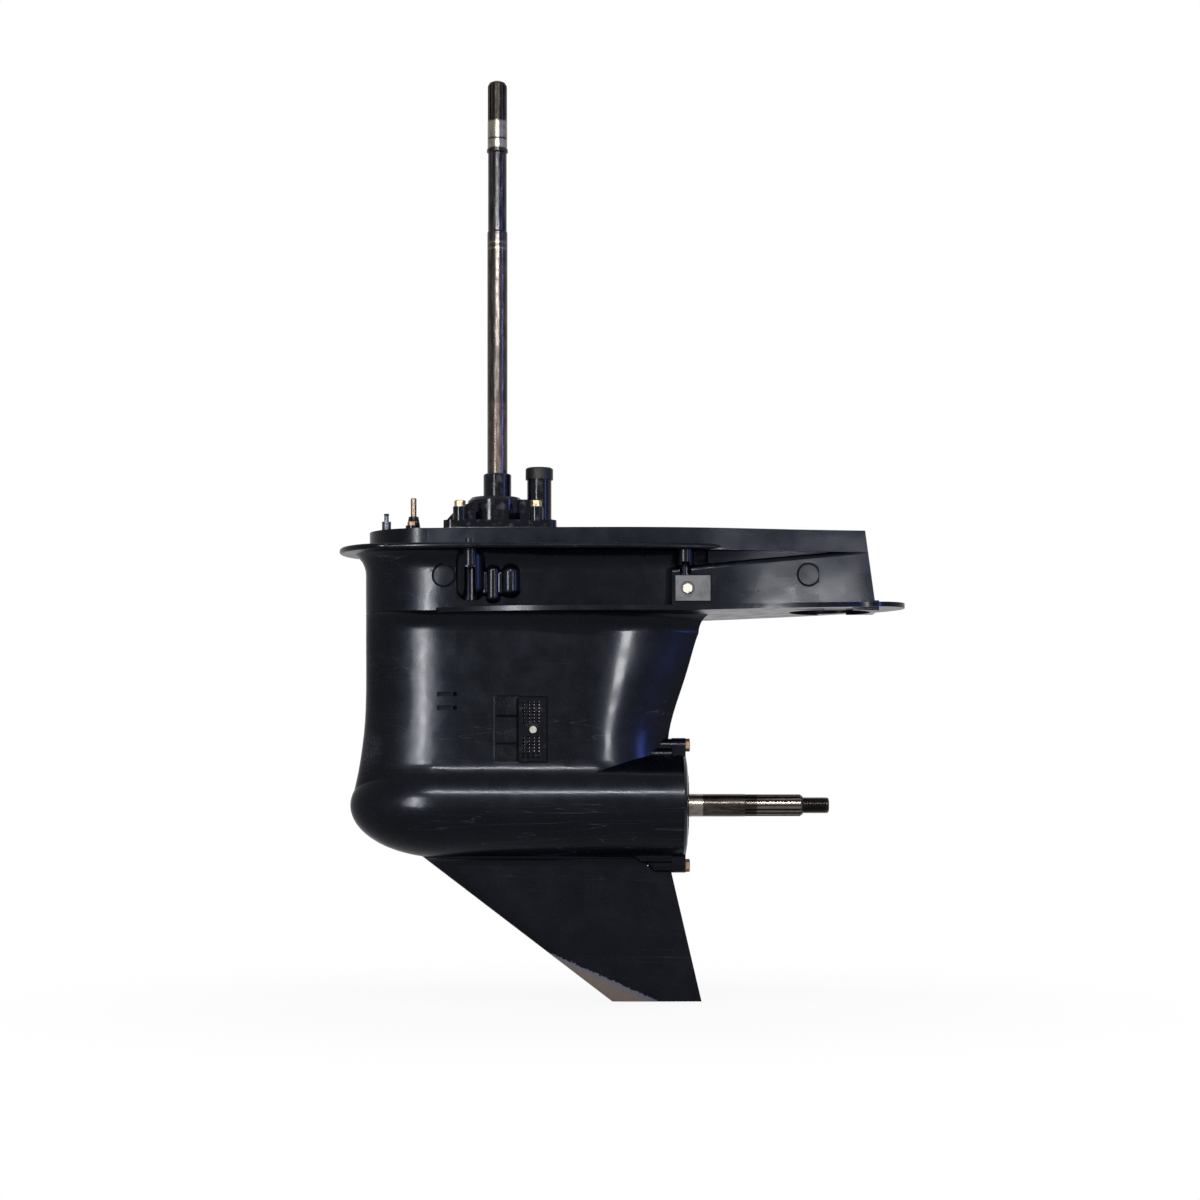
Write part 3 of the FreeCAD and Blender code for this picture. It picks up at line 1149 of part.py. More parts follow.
def make_retainer():
    """Flange with a snout round the shift rod, held by one bolt."""
    flange_top = 4.0
    base = cylinder(RETAINER_R, flange_top - RETAINER_SEAT_Z, V(SHIFT_X, 0, RETAINER_SEAT_Z))
    snout = Part.makeCone(RETAINER_R - 1.5, SHIFT_SEAL_R + 0.6, RETAINER_TOP_Z - flange_top,
                          V(SHIFT_X, 0, flange_top))
    ear = cylinder(RETAINER_EAR_R, RETAINER_BOLT_SEAT_Z - RETAINER_SEAT_Z,
                   V(SHIFT_X, RETAINER_BOLT_Y, RETAINER_SEAT_Z))
    seal_z = RETAINER_TOP_Z - SHIFT_SEAL_HEIGHT
    below = RETAINER_SEAT_Z - 2
    cuts = [cylinder(SHIFT_ROD_R + FIT_GAP, 40.0, V(SHIFT_X, 0, below)),
            cylinder(SHIFT_SEAL_R, 10.0, V(SHIFT_X, 0, seal_z)),
            cylinder(PUMP_BOLT_R, 30.0, V(SHIFT_X, RETAINER_BOLT_Y, below))]
    return drilled(joined(base, snout, ear), cuts)


def make_shift_seal():
    seal_z = RETAINER_TOP_Z - SHIFT_SEAL_HEIGHT
    return tube(SHIFT_SEAL_R, SHIFT_ROD_R + RUN_GAP, SHIFT_SEAL_HEIGHT, V(SHIFT_X, 0, seal_z))


def hex_bolt(at, along, radius, shank, flats, head):
    """Bolt whose head sits at a point, its shank pointing the other way."""
    bolt = hexagon(flats, head, at, along)
    rim = [e for e in bolt.Edges if abs((e.CenterOfMass - at).dot(along) - head) < 0.01]
    bolt = bolt.makeChamfer(head * 0.14, rim)
    return bolt.fuse(cylinder(radius, shank, at, along * -1))


def make_nipple():
    """Barbed stub for a hose."""
    profile = [(NIPPLE_SEAT_Z, NIPPLE_HOLE_R), (NIPPLE_SEAT_Z, NIPPLE_BASE_R),
               (NIPPLE_SHOULDER_Z, NIPPLE_BASE_R), (NIPPLE_SHOULDER_Z, NIPPLE_STEM_R),
               (NIPPLE_TOP_Z - 2.2, NIPPLE_STEM_R), (NIPPLE_TOP_Z - 1.2, NIPPLE_STEM_R + 0.7),
               (NIPPLE_TOP_Z, NIPPLE_STEM_R), (NIPPLE_TOP_Z, NIPPLE_HOLE_R)]
    return turned_z(profile, NIPPLE_X)


def taper_bearing(base, along, radial, length, bore_r, outer_r, count):
    """Inner race, rollers and outer race; the wide end is at the base."""
    wall = outer_r - bore_r
    in_wide = bore_r + 0.40 * wall
    in_narrow = bore_r + 0.22 * wall
    out_wide = outer_r - 0.16 * wall
    out_narrow = outer_r - 0.38 * wall
    inner_profile = [(0, bore_r), (0, in_wide), (length, in_narrow), (length, bore_r)]
    outer_profile = [(0, outer_r), (0, out_wide), (length, out_narrow), (length, outer_r)]
    inner = revolved(inner_profile, base, along, radial)
    outer = revolved(outer_profile, base, along, radial)
    margin = 0.12 * length
    share = margin / length
    wide_in = in_wide + (in_narrow - in_wide) * share
    wide_out = out_wide + (out_narrow - out_wide) * share
    thin_in = in_narrow - (in_narrow - in_wide) * share
    thin_out = out_narrow - (out_narrow - out_wide) * share
    start = base + along * margin + radial * ((wide_in + wide_out) / 2)
    end = base + along * (length - margin) + radial * ((thin_in + thin_out) / 2)
    run = end - start
    lean = run.Length / (length - 2 * margin)
    play = 2 * RUN_GAP
    wide_r = (wide_out - wide_in) / 2 / lean - play
    thin_r = (thin_out - thin_in) / 2 / lean - play
    roller = Part.makeCone(wide_r, thin_r, run.Length, start, run)
    return inner, Part.makeCompound(around(roller, count, base, along)), outer


def needle_bearing(base, along, radial, length, shaft_r, shell_r):
    """Drawn shell with inturned lips, and its needles."""
    shell_in = shaft_r + 2 * RUN_GAP + 2 * NEEDLE_R
    start = base + along * 2.0 + radial * (shaft_r + RUN_GAP + NEEDLE_R)
    needle = cylinder(NEEDLE_R, length - 4.0, start, along)
    shell = tube(shell_r - SEAT_GAP, shell_in, length, base, along)
    lips = [tube(shell_in, shell_in - 1.2, 1.0, base + along * a, along) for a in (0.0, length - 1.0)]
    return Part.makeCompound([joined(shell, *lips)] + around(needle, NEEDLES, base, along))


def base_outline_block(z_low, z_high, shrink):
    """Rounded plate with the outline that the pump's base, plates and gasket share."""
    half = POCKET_HALF - shrink
    plate = block(POCKET_FRONT_X + shrink, POCKET_AFT_X - shrink, -half, half, z_low, z_high)
    upright = [e for e in plate.Edges if e.BoundBox.XLength < 0.01 and e.BoundBox.YLength < 0.01]
    return plate.makeFillet(POCKET_CORNER_R - shrink, upright)


def pump_bolt_holes(z_low, length):
    return [cylinder(PUMP_BOLT_R + FIT_GAP, length, V(x, s * PUMP_BOLT_Y, z_low))
            for x in (PUMP_BOLT_FRONT_X, PUMP_BOLT_AFT_X) for s in SIDES]


def make_seal_housing():
    flange = base_outline_block(POCKET_FLOOR_Z, SEAL_FLANGE_TOP_Z, POCKET_PLAY)
    spigot_z = DRIVE_SHOULDER_Z + 2.0
    spigot = cylinder(UPPER_BEARING_R - SEAT_GAP, POCKET_FLOOR_Z - spigot_z, V(0, 0, spigot_z))
    cuts = pump_bolt_holes(POCKET_FLOOR_Z - 1, 12.0)
    cuts.append(cylinder(SEAL_R, 60.0, V(0, 0, SEAL_Z)))
    cuts.append(cylinder(DRIVE_LOWER_R + 1.0, 60.0, V(0, 0, spigot_z - 1)))
    cuts.append(block(WATER_X, WATER_X + WATER_LENGTH, -WATER_HALF, WATER_HALF, POCKET_FLOOR_Z - 1, 5.0))
    cuts.append(block(IMPELLER_HUB_R + 4.0, WATER_X + 1, -WATER_HALF + 2, WATER_HALF - 2, -2.0, 5.0))
    return drilled(joined(flange, spigot), cuts)


def make_shaft_seals(base, along, shaft_r, outer_r, length):
    """Two lip seals, one behind the other."""
    first = tube(outer_r - SEAT_GAP, shaft_r + RUN_GAP, length, base, along)
    second = tube(outer_r - SEAT_GAP, shaft_r + RUN_GAP, length, base + along * (length + SEAL_STEP), along)
    return Part.makeCompound([first, second])


def make_gasket():
    plate = base_outline_block(SEAL_FLANGE_TOP_Z, SEAL_FLANGE_TOP_Z + GASKET_THICK, POCKET_PLAY)
    cuts = pump_bolt_holes(0.0, 6.0)
    cuts.append(cylinder(IMPELLER_HUB_R + 3.0, 6.0, V(0, 0, 0)))
    cuts.append(block(IMPELLER_HUB_R - 1, WATER_X + WATER_LENGTH, 1 - WATER_HALF, WATER_HALF - 1, 0.0, 6.0))
    return drilled(plate, cuts)


def make_wear_plate():
    low = SEAL_FLANGE_TOP_Z + GASKET_THICK
    plate = base_outline_block(low, low + WEAR_PLATE_THICK, POCKET_PLAY)
    cuts = pump_bolt_holes(0.0, 6.0)
    cuts.append(cylinder(DRIVE_MAIN_R + 1.4, 6.0, V(0, 0, 0)))
    cuts.append(block(IMPELLER_HUB_R + 0.5, LINER_R + LINER_OFFSET - 1, -9.0, 9.0, 0.0, 6.0))
    return drilled(plate, cuts)


def make_pump_housing():
    """Moulded cover: drum over the liner, sleeve round the shaft and outlet tube."""
    low = PUMP_BASE_TOP_Z - 1
    base = base_outline_block(PUMP_BASE_Z, PUMP_BASE_TOP_Z, POCKET_PLAY)
    drum = cylinder(PUMP_DRUM_R, PUMP_TOP_Z - PUMP_BASE_Z, V(LINER_OFFSET, 0, PUMP_BASE_Z))
    rim = [e for e in drum.Edges if e.BoundBox.ZMin > PUMP_TOP_Z - 0.1 and e.BoundBox.XLength > 1]
    drum = drum.makeChamfer(4.0, rim)
    sleeve = cylinder(PUMP_TUBE_R, PUMP_TUBE_TOP_Z - PUMP_TOP_Z + 1, V(0, 0, PUMP_TOP_Z - 1))
    lip = [e for e in sleeve.Edges if e.BoundBox.ZMin > PUMP_TUBE_TOP_Z - 0.1 and e.BoundBox.XLength > 1]
    sleeve = sleeve.makeChamfer(1.2, lip)
    front = POCKET_FRONT_X + POCKET_PLAY
    slope = [(front + 2.0, low), (front + 2.5, low + 2.5), (front + 11.0, low + 12.0),
             (front + 20.0, low + 19.0), (front + 46.0, PUMP_TOP_Z - 1.0), (front + 50.0, low)]
    ramp = prism([V(x, -PUMP_RAMP_HALF, z) for x, z in slope], V(0, 2 * PUMP_RAMP_HALF, 0))
    duct = block(0.0, OUTLET_X, -PUMP_DUCT_HALF, PUMP_DUCT_HALF, low, PUMP_TOP_Z - 3)
    outlet = cylinder(OUTLET_R, OUTLET_TOP_Z - low, V(OUTLET_X, 0, low))
    foot = cylinder(OUTLET_R + 2.5, 5.0, V(OUTLET_X, 0, low))
    pillars = []
    for x in (PUMP_BOLT_FRONT_X, PUMP_BOLT_AFT_X):
        inner_x = x - math.copysign(PUMP_WEB_REACH, x)
        for s in SIDES:
            pillars.append(cylinder(PUMP_PILLAR_R, PUMP_BOLT_SEAT_Z - low, V(x, s * PUMP_BOLT_Y, low)))
            y0, y1 = sorted((s * (PUMP_BOLT_Y - 3.0), s * (PUMP_BOLT_Y - 4.0 - PUMP_WEB_REACH)))
            pillars.append(block(min(x, inner_x), max(x, inner_x), y0, y1, low, PUMP_BOLT_SEAT_Z - 4.0))
    body = joined(base, drum, sleeve, ramp, duct, outlet, foot, *pillars)
    cuts = pump_bolt_holes(PUMP_BASE_Z - 1, 30.0)
    cuts.append(cylinder(LINER_R + LINER_WALL + SEAT_GAP, LINER_HEIGHT + 1.0,
                         V(LINER_OFFSET, 0, PUMP_BASE_Z - 1)))
    cuts.append(cylinder(DRIVE_MAIN_R + 1.4, 90.0, V(0, 0, PUMP_BASE_Z - 1)))
    cuts.append(cylinder(OUTLET_BORE_R, 90.0, V(OUTLET_X, 0, PUMP_BASE_TOP_Z + 2)))
    cuts.append(block(PUMP_DUCT_HALF + 5, OUTLET_X, -PORT_HALF, PORT_HALF, PUMP_BASE_TOP_Z + 2,
                      PUMP_BASE_Z + LINER_HEIGHT - 2))
    return drilled(body, cuts)


def make_liner():
    """Eccentric cup that the impeller's blades sweep."""
    centre = V(LINER_OFFSET, 0, PUMP_BASE_Z)
    cup = cylinder(LINER_R + LINER_WALL, LINER_HEIGHT, centre)
    cuts = [cylinder(LINER_R, LINER_HEIGHT - LINER_WALL + 1, centre - AXIS_Z),
            cylinder(IMPELLER_HUB_R - 1.5, 40.0, V(0, 0, PUMP_BASE_Z)),
            block(PUMP_DUCT_HALF, LINER_R + 14, -PORT_HALF, PORT_HALF, PUMP_BASE_TOP_Z + 2,
                  PUMP_BASE_Z + LINER_HEIGHT - 3.6)]
    return drilled(cup, cuts)


def make_impeller():
    """Rubber hub with blades that lean back from the way it turns."""
    hub = tube(IMPELLER_HUB_R, DRIVE_MAIN_R + SEAT_GAP, IMPELLER_HEIGHT, V(0, 0, IMPELLER_Z))
    root_x = IMPELLER_HUB_R - 1.5
    outline = [(root_x, -1.6), (IMPELLER_R - 2.2, BLADE_LEAN - 2.4), (IMPELLER_R - 1.6, BLADE_LEAN + 1.2),
               (IMPELLER_R - 5.2, BLADE_LEAN - 0.2), (root_x, 2.4)]
    blade = prism([V(x, y, IMPELLER_Z) for x, y in outline], V(0, 0, IMPELLER_HEIGHT))
    blades = around(blade, IMPELLER_BLADES, V(0, 0, 0), AXIS_Z)
    return joined(hub, *blades).cut(make_key())


def make_grommet():
    """Rubber collar on the outlet tube that takes the engine's water pipe."""
    foot_z = OUTLET_TOP_Z - 4
    profile = [(foot_z, OUTLET_R + SEAT_GAP), (foot_z, GROMMET_R), (GROMMET_TOP_Z - 1.5, GROMMET_R),
               (GROMMET_TOP_Z, GROMMET_R - 1.5), (GROMMET_TOP_Z, GROMMET_BORE_R),
               (OUTLET_TOP_Z, GROMMET_BORE_R), (OUTLET_TOP_Z, OUTLET_R + SEAT_GAP)]
    return turned_z(profile, OUTLET_X)


def make_pump_bolts():
    bolts = []
    washers = []
    seat = PUMP_BOLT_SEAT_Z + WASHER_THICK
    shank = seat - PUMP_BOLT_FOOT_Z
    for x in (PUMP_BOLT_FRONT_X, PUMP_BOLT_AFT_X):
        for s in SIDES:
            at = V(x, s * PUMP_BOLT_Y, seat)
            bolts.append(hex_bolt(at, AXIS_Z, PUMP_BOLT_R, shank, PUMP_BOLT_FLATS, PUMP_BOLT_HEAD))
            washers.append(tube(PUMP_BOLT_FLATS * 0.62, PUMP_BOLT_R + FIT_GAP, WASHER_THICK,
                                at - AXIS_Z * WASHER_THICK))
    return Part.makeCompound(bolts), Part.makeCompound(washers)


def make_carrier():
    """Cage that closes the torpedo: ring, hub, ribs and a flange with exhaust windows."""
    outer_r = GEAR_BORE_R - RUN_GAP
    flange_r = TORPEDO_R
    throat_r = PROP_MAIN_R + 1.5
    bearing_end = REVERSE_BEARING_X + REVERSE_BEARING_LENGTH
    seal_end = CARRIER_SEAL_X + 2 * SEAL_LENGTH + SEAL_STEP + 2.0
    ring = turned_x([(CARRIER_RING_X, REVERSE_BEARING_R), (CARRIER_RING_X, outer_r),
                     (CARRIER_RING_END_X, outer_r), (CARRIER_RING_END_X, CARRIER_BORE_R),
                     (bearing_end, CARRIER_BORE_R), (bearing_end, REVERSE_BEARING_R)])
    hub = turned_x([(CARRIER_RING_END_X - 1, CARRIER_BORE_R), (CARRIER_RING_END_X - 1, CARRIER_HUB_R),
                    (CARRIER_SPIGOT_X + 1, CARRIER_HUB_R), (CARRIER_SPIGOT_X + 1, CARRIER_BORE_R)])
    rear = turned_x([(CARRIER_SPIGOT_X, CARRIER_BORE_R), (CARRIER_SPIGOT_X, outer_r),
                     (TORPEDO_AFT_X, outer_r), (TORPEDO_AFT_X, flange_r), (CARRIER_FLANGE_X - 2.5, flange_r),
                     (CARRIER_FLANGE_X + 0.5, flange_r - 4.5), (CARRIER_DOME_X - 0.6, flange_r * 0.66),
                     (CARRIER_DOME_X, flange_r * 0.41), (CARRIER_DOME_X, throat_r),
                     (seal_end, throat_r), (seal_end, CARRIER_BORE_R)])
    ear = block(TORPEDO_AFT_X, CARRIER_FLANGE_X, -CARRIER_EAR_HALF, CARRIER_EAR_HALF,
                PROP_Z + flange_r - 15.0, PROP_Z + CARRIER_EAR_R)
    corners = [e for e in ear.Edges if e.BoundBox.XLength > 5 and e.BoundBox.ZMin > PROP_Z + flange_r]
    ear = ear.makeFillet(CARRIER_EAR_HALF * 0.6, corners)
    rib = block(CARRIER_RING_END_X - 2, CARRIER_SPIGOT_X + 2, -CARRIER_RIB_THICK / 2, CARRIER_RIB_THICK / 2,
                PROP_Z + CARRIER_HUB_R - 2, PROP_Z + outer_r - 1)
    rib.rotate(PROP_BASE, AXIS_X, 180.0 / CARRIER_RIBS)
    body = joined(ring, hub, rear, ear, ear.mirror(PROP_BASE, AXIS_Z),
                  *around(rib, CARRIER_RIBS, PROP_BASE, AXIS_X))
    start = PROP_BASE + V(CARRIER_SPIGOT_X - 2, 0, 0)
    sweep = tube(CARRIER_WINDOW_OUT_R, CARRIER_WINDOW_IN_R, 40.0, start, AXIS_X)
    reach = 100.0
    spread = reach * math.tan(math.radians(180.0 / CARRIER_RIBS - CARRIER_WEB_DEG))
    corners = [start - AXIS_X, start + V(-1, -spread, reach), start + V(-1, spread, reach)]
    window = sweep.common(prism(corners, V(44.0, 0, 0)))
    cuts = around(window, CARRIER_RIBS, PROP_BASE, AXIS_X)
    for x in O_RING_X:
        groove = tube(outer_r + 1, outer_r - O_RING_DEPTH, O_RING_WIDTH, PROP_BASE + V(x, 0, 0), AXIS_X)
        cuts.append(groove)
    for up in SIDES:
        at = V(TORPEDO_AFT_X - 4, 0, PROP_Z + up * CARRIER_BOLT_OFFSET)
        cuts.append(cylinder(CARRIER_BOLT_R + FIT_GAP, 30.0, at, AXIS_X))
    return drilled(body, cuts)


def make_o_rings():
    outer_r = GEAR_BORE_R - RUN_GAP
    return Part.makeCompound([tube(outer_r + RUN_GAP / 2, outer_r - O_RING_DEPTH, O_RING_WIDTH,
                                   PROP_BASE + V(x, 0, 0), AXIS_X) for x in O_RING_X])


def make_carrier_bolts():
    bolts = []
    for up in SIDES:
        at = V(CARRIER_FLANGE_X, 0, PROP_Z + up * CARRIER_BOLT_OFFSET)
        bolts.append(hex_bolt(at, AXIS_X, CARRIER_BOLT_R, CARRIER_FLANGE_X - TORPEDO_AFT_X + 26.0,
                              CARRIER_BOLT_FLATS, CARRIER_BOLT_HEAD))
    return Part.makeCompound(bolts)


def make_anode(side):
    """Block let into the side wall, with a recess round its bolt."""
    seat_y = AFT_BOX_HALF - ANODE_SINK
    face_y = AFT_BOX_HALF + ANODE_PROUD
    low_z = ANODE_TOP_Z - ANODE_HEIGHT
    anode = block(ANODE_X, ANODE_X + ANODE_LENGTH, seat_y, face_y, low_z, ANODE_TOP_Z)
    edges = [e for e in anode.Edges if e.BoundBox.YMin > face_y - 0.01]
    anode = anode.makeChamfer(0.8, edges)
    recess = V(ANODE_BOLT_X, face_y - ANODE_COUNTERBORE, ANODE_BOLT_Z)
    hole = V(ANODE_BOLT_X, seat_y - 2, ANODE_BOLT_Z)
    anode = drilled(anode, [cylinder(ANODE_RECESS_R, 10.0, recess, AXIS_Y),
                            cylinder(ANODE_BOLT_R + FIT_GAP, 20.0, hole, AXIS_Y)])
    return anode if side > 0 else mirrored_y(anode)


def make_anode_bolts():
    bolts = []
    face_y = AFT_BOX_HALF + ANODE_PROUD - ANODE_COUNTERBORE
    for side in SIDES:
        at = V(ANODE_BOLT_X, side * face_y, ANODE_BOLT_Z)
        bolts.append(hex_bolt(at, AXIS_Y * side, ANODE_BOLT_R, ANODE_SINK + 8.0, 11.0, 3.0))
    return Part.makeCompound(bolts)


def make_inlet_screen(side):
    """Strainer with columns of short slots above and below its screw."""
    back_y = STRUT_HALF - INLET_DEPTH
    front_y = STRUT_HALF - SCREEN_SINK
    plate = block(INLET_X, INLET_X + INLET_LENGTH, back_y, front_y, INLET_FOOT_Z, INLET_TOP_Z)
    cuts = []
    for column in range(SCREEN_COLUMNS):
        x = INLET_X + SCREEN_FRAME + column * SCREEN_COLUMN_STEP
        for row in range(SCREEN_ROWS):
            for up in SIDES:
                z = INLET_MIDDLE_Z + up * (SCREEN_BOSS + row * SCREEN_ROW_STEP)
                cuts.append(block(x - SCREEN_SLOT_HALF, x + SCREEN_SLOT_HALF, back_y - 1, front_y + 1,
                                  z - SCREEN_SLOT_TALL, z + SCREEN_SLOT_TALL))
    hole = V(SCREEN_SCREW_X, back_y - 2, INLET_MIDDLE_Z)
    cuts.append(cylinder(SCREEN_SCREW_R + FIT_GAP, 20.0, hole, AXIS_Y))
    screen = drilled(plate, cuts)
    return screen if side > 0 else mirrored_y(screen)


def make_screen_screw():
    """One long screw draws both inlet screens inwards, with a nut to starboard."""
    face_y = STRUT_HALF - SCREEN_SINK
    at = V(SCREEN_SCREW_X, -face_y, INLET_MIDDLE_Z)
    head = cylinder(SCREEN_SCREW_HEAD_R, 2.0, at, AXIS_Y * -1)
    slot = block(at.x - 5, at.x + 5, at.y - 3, at.y - 1, at.z - 0.6, at.z + 0.6)
    shank = cylinder(SCREEN_SCREW_R, 2 * face_y + 4.0, at, AXIS_Y)
    nut = hexagon(2 * SCREEN_SCREW_HEAD_R, 3.2, V(at.x, face_y, at.z), AXIS_Y)
    return joined(head.cut(slot), shank), nut.cut(shank)


def make_oil_screw(x, wall, z):
    """Slotted screw with its sealing washer, in a spot face."""
    seat = V(x, wall - 1.0 + OIL_SEAL_THICK, z)
    head = cylinder(OIL_HEAD_R, OIL_HEAD_THICK, seat, AXIS_Y)
    slot = block(x - 10, x + 10, seat.y + OIL_HEAD_THICK - 1.4, seat.y + 10, z - 0.9, z + 0.9)
    return head.cut(slot).fuse(cylinder(OIL_SCREW_R, OIL_SCREW_LENGTH, seat, AXIS_Y * -1))


def make_oil_seals():
    inner_r = OIL_SCREW_R + FIT_GAP
    return Part.makeCompound([tube(OIL_HEAD_R, inner_r, OIL_SEAL_THICK, V(x, wall - 1.0, z), AXIS_Y)
                              for x, wall, z in OIL_SCREWS])


def add_taper_bearing(parts, name, base, along, radial, length, bore_r, outer_r):
    cone, rollers, cup = taper_bearing(base, along, radial, length, bore_r + SEAT_GAP, outer_r - SEAT_GAP,
                                       ROLLERS)
    parts[name + "_cone"] = cone
    parts[name + "_rollers"] = rollers
    parts[name + "_cup"] = cup


def add_bearings(parts):
    front = PROP_BASE + V(FRONT_BEARING_END_X + FRONT_BEARING_LENGTH, 0, 0)
    rear = PROP_BASE + V(REVERSE_BEARING_X, 0, 0)
    top = V(0, 0, UPPER_BEARING_Z)
    add_taper_bearing(parts, "forward_bearing", front, AXIS_X * -1, AXIS_Z, FRONT_BEARING_LENGTH, GEAR_HUB_R,
                      FRONT_BEARING_R)
    add_taper_bearing(parts, "reverse_bearing", rear, AXIS_X, AXIS_Z, REVERSE_BEARING_LENGTH, GEAR_HUB_R,
                      REVERSE_BEARING_R)
    add_taper_bearing(parts, "driveshaft_bearing", top, AXIS_Z, AXIS_X, UPPER_BEARING_LENGTH, DRIVE_LOWER_R,
                      UPPER_BEARING_R)
    parts["pinion_needle_bearing"] = needle_bearing(V(0, 0, PINION_BEARING_Z), AXIS_Z, AXIS_X,
                                                    PINION_BEARING_LENGTH, DRIVE_LOWER_R, NEEDLE_SHELL_R)
    carrier_base = PROP_BASE + V(CARRIER_BEARING_X, 0, 0)
    parts["propshaft_needle_bearing"] = needle_bearing(carrier_base, AXIS_X, AXIS_Z, CARRIER_BEARING_LENGTH,
                                                       PROP_MAIN_R, CARRIER_BORE_R)
    parts["propshaft_seals"] = make_shaft_seals(PROP_BASE + V(CARRIER_SEAL_X, 0, 0), AXIS_X, PROP_MAIN_R,
                                                CARRIER_BORE_R, SEAL_LENGTH)
    parts["driveshaft_seals"] = make_shaft_seals(V(0, 0, SEAL_Z), AXIS_Z, DRIVE_MAIN_R, SEAL_R, SEAL_LENGTH)


def add_pump(parts):
    parts["driveshaft_seal_housing"] = make_seal_housing()
    parts["pump_gasket"] = make_gasket()
    parts["pump_wear_plate"] = make_wear_plate()
    parts["water_pump_housing"] = make_pump_housing()
    parts["pump_liner"] = make_liner()
    parts["pump_bolts"], parts["pump_washers"] = make_pump_bolts()
    parts["water_tube_grommet"] = make_grommet()
    parts["impeller"] = make_impeller()
    parts["impeller_key"] = make_key()


def add_gear_train(parts):
    parts["drive_shaft"] = make_drive_shaft()
    parts["pinion_gear"] = make_pinion()
    parts["pinion_nut"] = make_pinion_nut()
    for name, side, shaft_r, hub_end in (("forward_gear", -1, PROP_NOSE_R, FORWARD_HUB_END),
                                         ("reverse_gear", 1, PROP_MAIN_R, REVERSE_HUB_END)):
        inner_r = shaft_r + RUN_GAP
        start_x = BUSH_START if side > 0 else -hub_end
        parts[name] = big_gear(side, hub_end, inner_r + BUSH_WALL)
        parts[name + "_bush"] = tube(inner_r + BUSH_WALL, inner_r, hub_end - BUSH_START,
                                     PROP_BASE + V(start_x, 0, 0), AXIS_X)
    parts["propeller_shaft"] = make_propeller_shaft()
    parts["clutch_dog"] = make_clutch_dog()
    parts["clutch_pin"] = clutch_pin_solid()
    parts["clutch_retaining_spring"] = make_dog_spring()


def add_shift_mechanism(parts):
    parts["shift_plunger"] = make_plunger()
    parts["shift_slider"] = make_slider()
    parts["shift_rod"] = make_shift_rod()
    parts["shift_rod_retainer"] = make_retainer()
    parts["shift_rod_seal"] = make_shift_seal()
    seat = V(SHIFT_X, RETAINER_BOLT_Y, RETAINER_BOLT_SEAT_Z)
    shank = RETAINER_BOLT_SEAT_Z - RETAINER_SEAT_Z + 12.0
    parts["retainer_bolt"] = hex_bolt(seat, AXIS_Z, PUMP_BOLT_R, shank, 10.0, 5.0)
    parts["speedometer_nipple"] = make_nipple()


def make_parts():
    """Every piece of the lower unit, by name."""
    parts = {"gearcase_housing": make_housing()}
    parts["bearing_carrier"] = make_carrier()
    parts["carrier_bolts"] = make_carrier_bolts()
    parts["carrier_o_rings"] = make_o_rings()
    add_bearings(parts)
    add_pump(parts)
    add_gear_train(parts)
    add_shift_mechanism(parts)
    for name, side in (("port", -1), ("starboard", 1)):
        parts[name + "_anode"] = make_anode(side)
        parts[name + "_inlet_screen"] = make_inlet_screen(side)
    parts["anode_bolts"] = make_anode_bolts()
    parts["inlet_screen_screw"], parts["inlet_screen_nut"] = make_screen_screw()
    parts["gear_oil_drain_screw"] = make_oil_screw(*OIL_SCREWS[0])
    parts["gear_oil_level_screw"] = make_oil_screw(*OIL_SCREWS[1])
    parts["oil_screw_seals"] = make_oil_seals()
    return parts


if __name__ == "__main__":
    os.makedirs("parts", exist_ok=True)
    for node, shape in make_parts().items():
        shape.exportStep("parts/" + node + ".step")
        print(node, len(shape.Solids), round(shape.Volume / 1000, 1))
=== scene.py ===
# %% [markdown]
# # An outboard lower unit in gloss black enamel
# The lower unit is the gearcase of an outboard motor: a black casting with two plates, a strut, a
# round torpedo and a skeg, with a water pump and a long drive shaft on its deck and a propeller
# shaft at its stern. Its solids come from the CAD frame. This file gives them their finishes, adds
# the thread of the propeller shaft, and sets up floor, light and camera.

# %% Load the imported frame
import bmesh
import bpy
import json
import math
from mathutils import Matrix, Vector


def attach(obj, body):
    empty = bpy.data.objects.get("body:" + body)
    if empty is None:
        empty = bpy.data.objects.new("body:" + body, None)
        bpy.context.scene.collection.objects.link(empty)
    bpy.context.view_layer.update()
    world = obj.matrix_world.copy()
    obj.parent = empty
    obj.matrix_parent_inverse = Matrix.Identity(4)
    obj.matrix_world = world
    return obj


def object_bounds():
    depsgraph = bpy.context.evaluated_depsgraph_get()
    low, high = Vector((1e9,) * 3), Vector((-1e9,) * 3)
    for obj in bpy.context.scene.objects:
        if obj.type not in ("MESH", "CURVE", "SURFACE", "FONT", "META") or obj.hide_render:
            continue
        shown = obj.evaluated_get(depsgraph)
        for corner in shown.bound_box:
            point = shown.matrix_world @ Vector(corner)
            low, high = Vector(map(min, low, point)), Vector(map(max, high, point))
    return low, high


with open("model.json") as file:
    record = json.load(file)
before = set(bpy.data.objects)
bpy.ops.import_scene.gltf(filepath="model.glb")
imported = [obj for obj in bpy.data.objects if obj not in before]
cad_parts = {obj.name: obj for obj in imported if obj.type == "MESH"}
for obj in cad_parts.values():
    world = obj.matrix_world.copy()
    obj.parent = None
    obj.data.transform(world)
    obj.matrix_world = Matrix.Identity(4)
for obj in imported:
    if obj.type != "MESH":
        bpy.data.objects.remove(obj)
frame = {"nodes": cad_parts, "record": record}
cad_low, cad_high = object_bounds()
MM = 0.001                            # The frame is in metres.
PROPELLER_AXIS_Z = -312.0 * MM        # The propeller shaft lies this far below the deck.

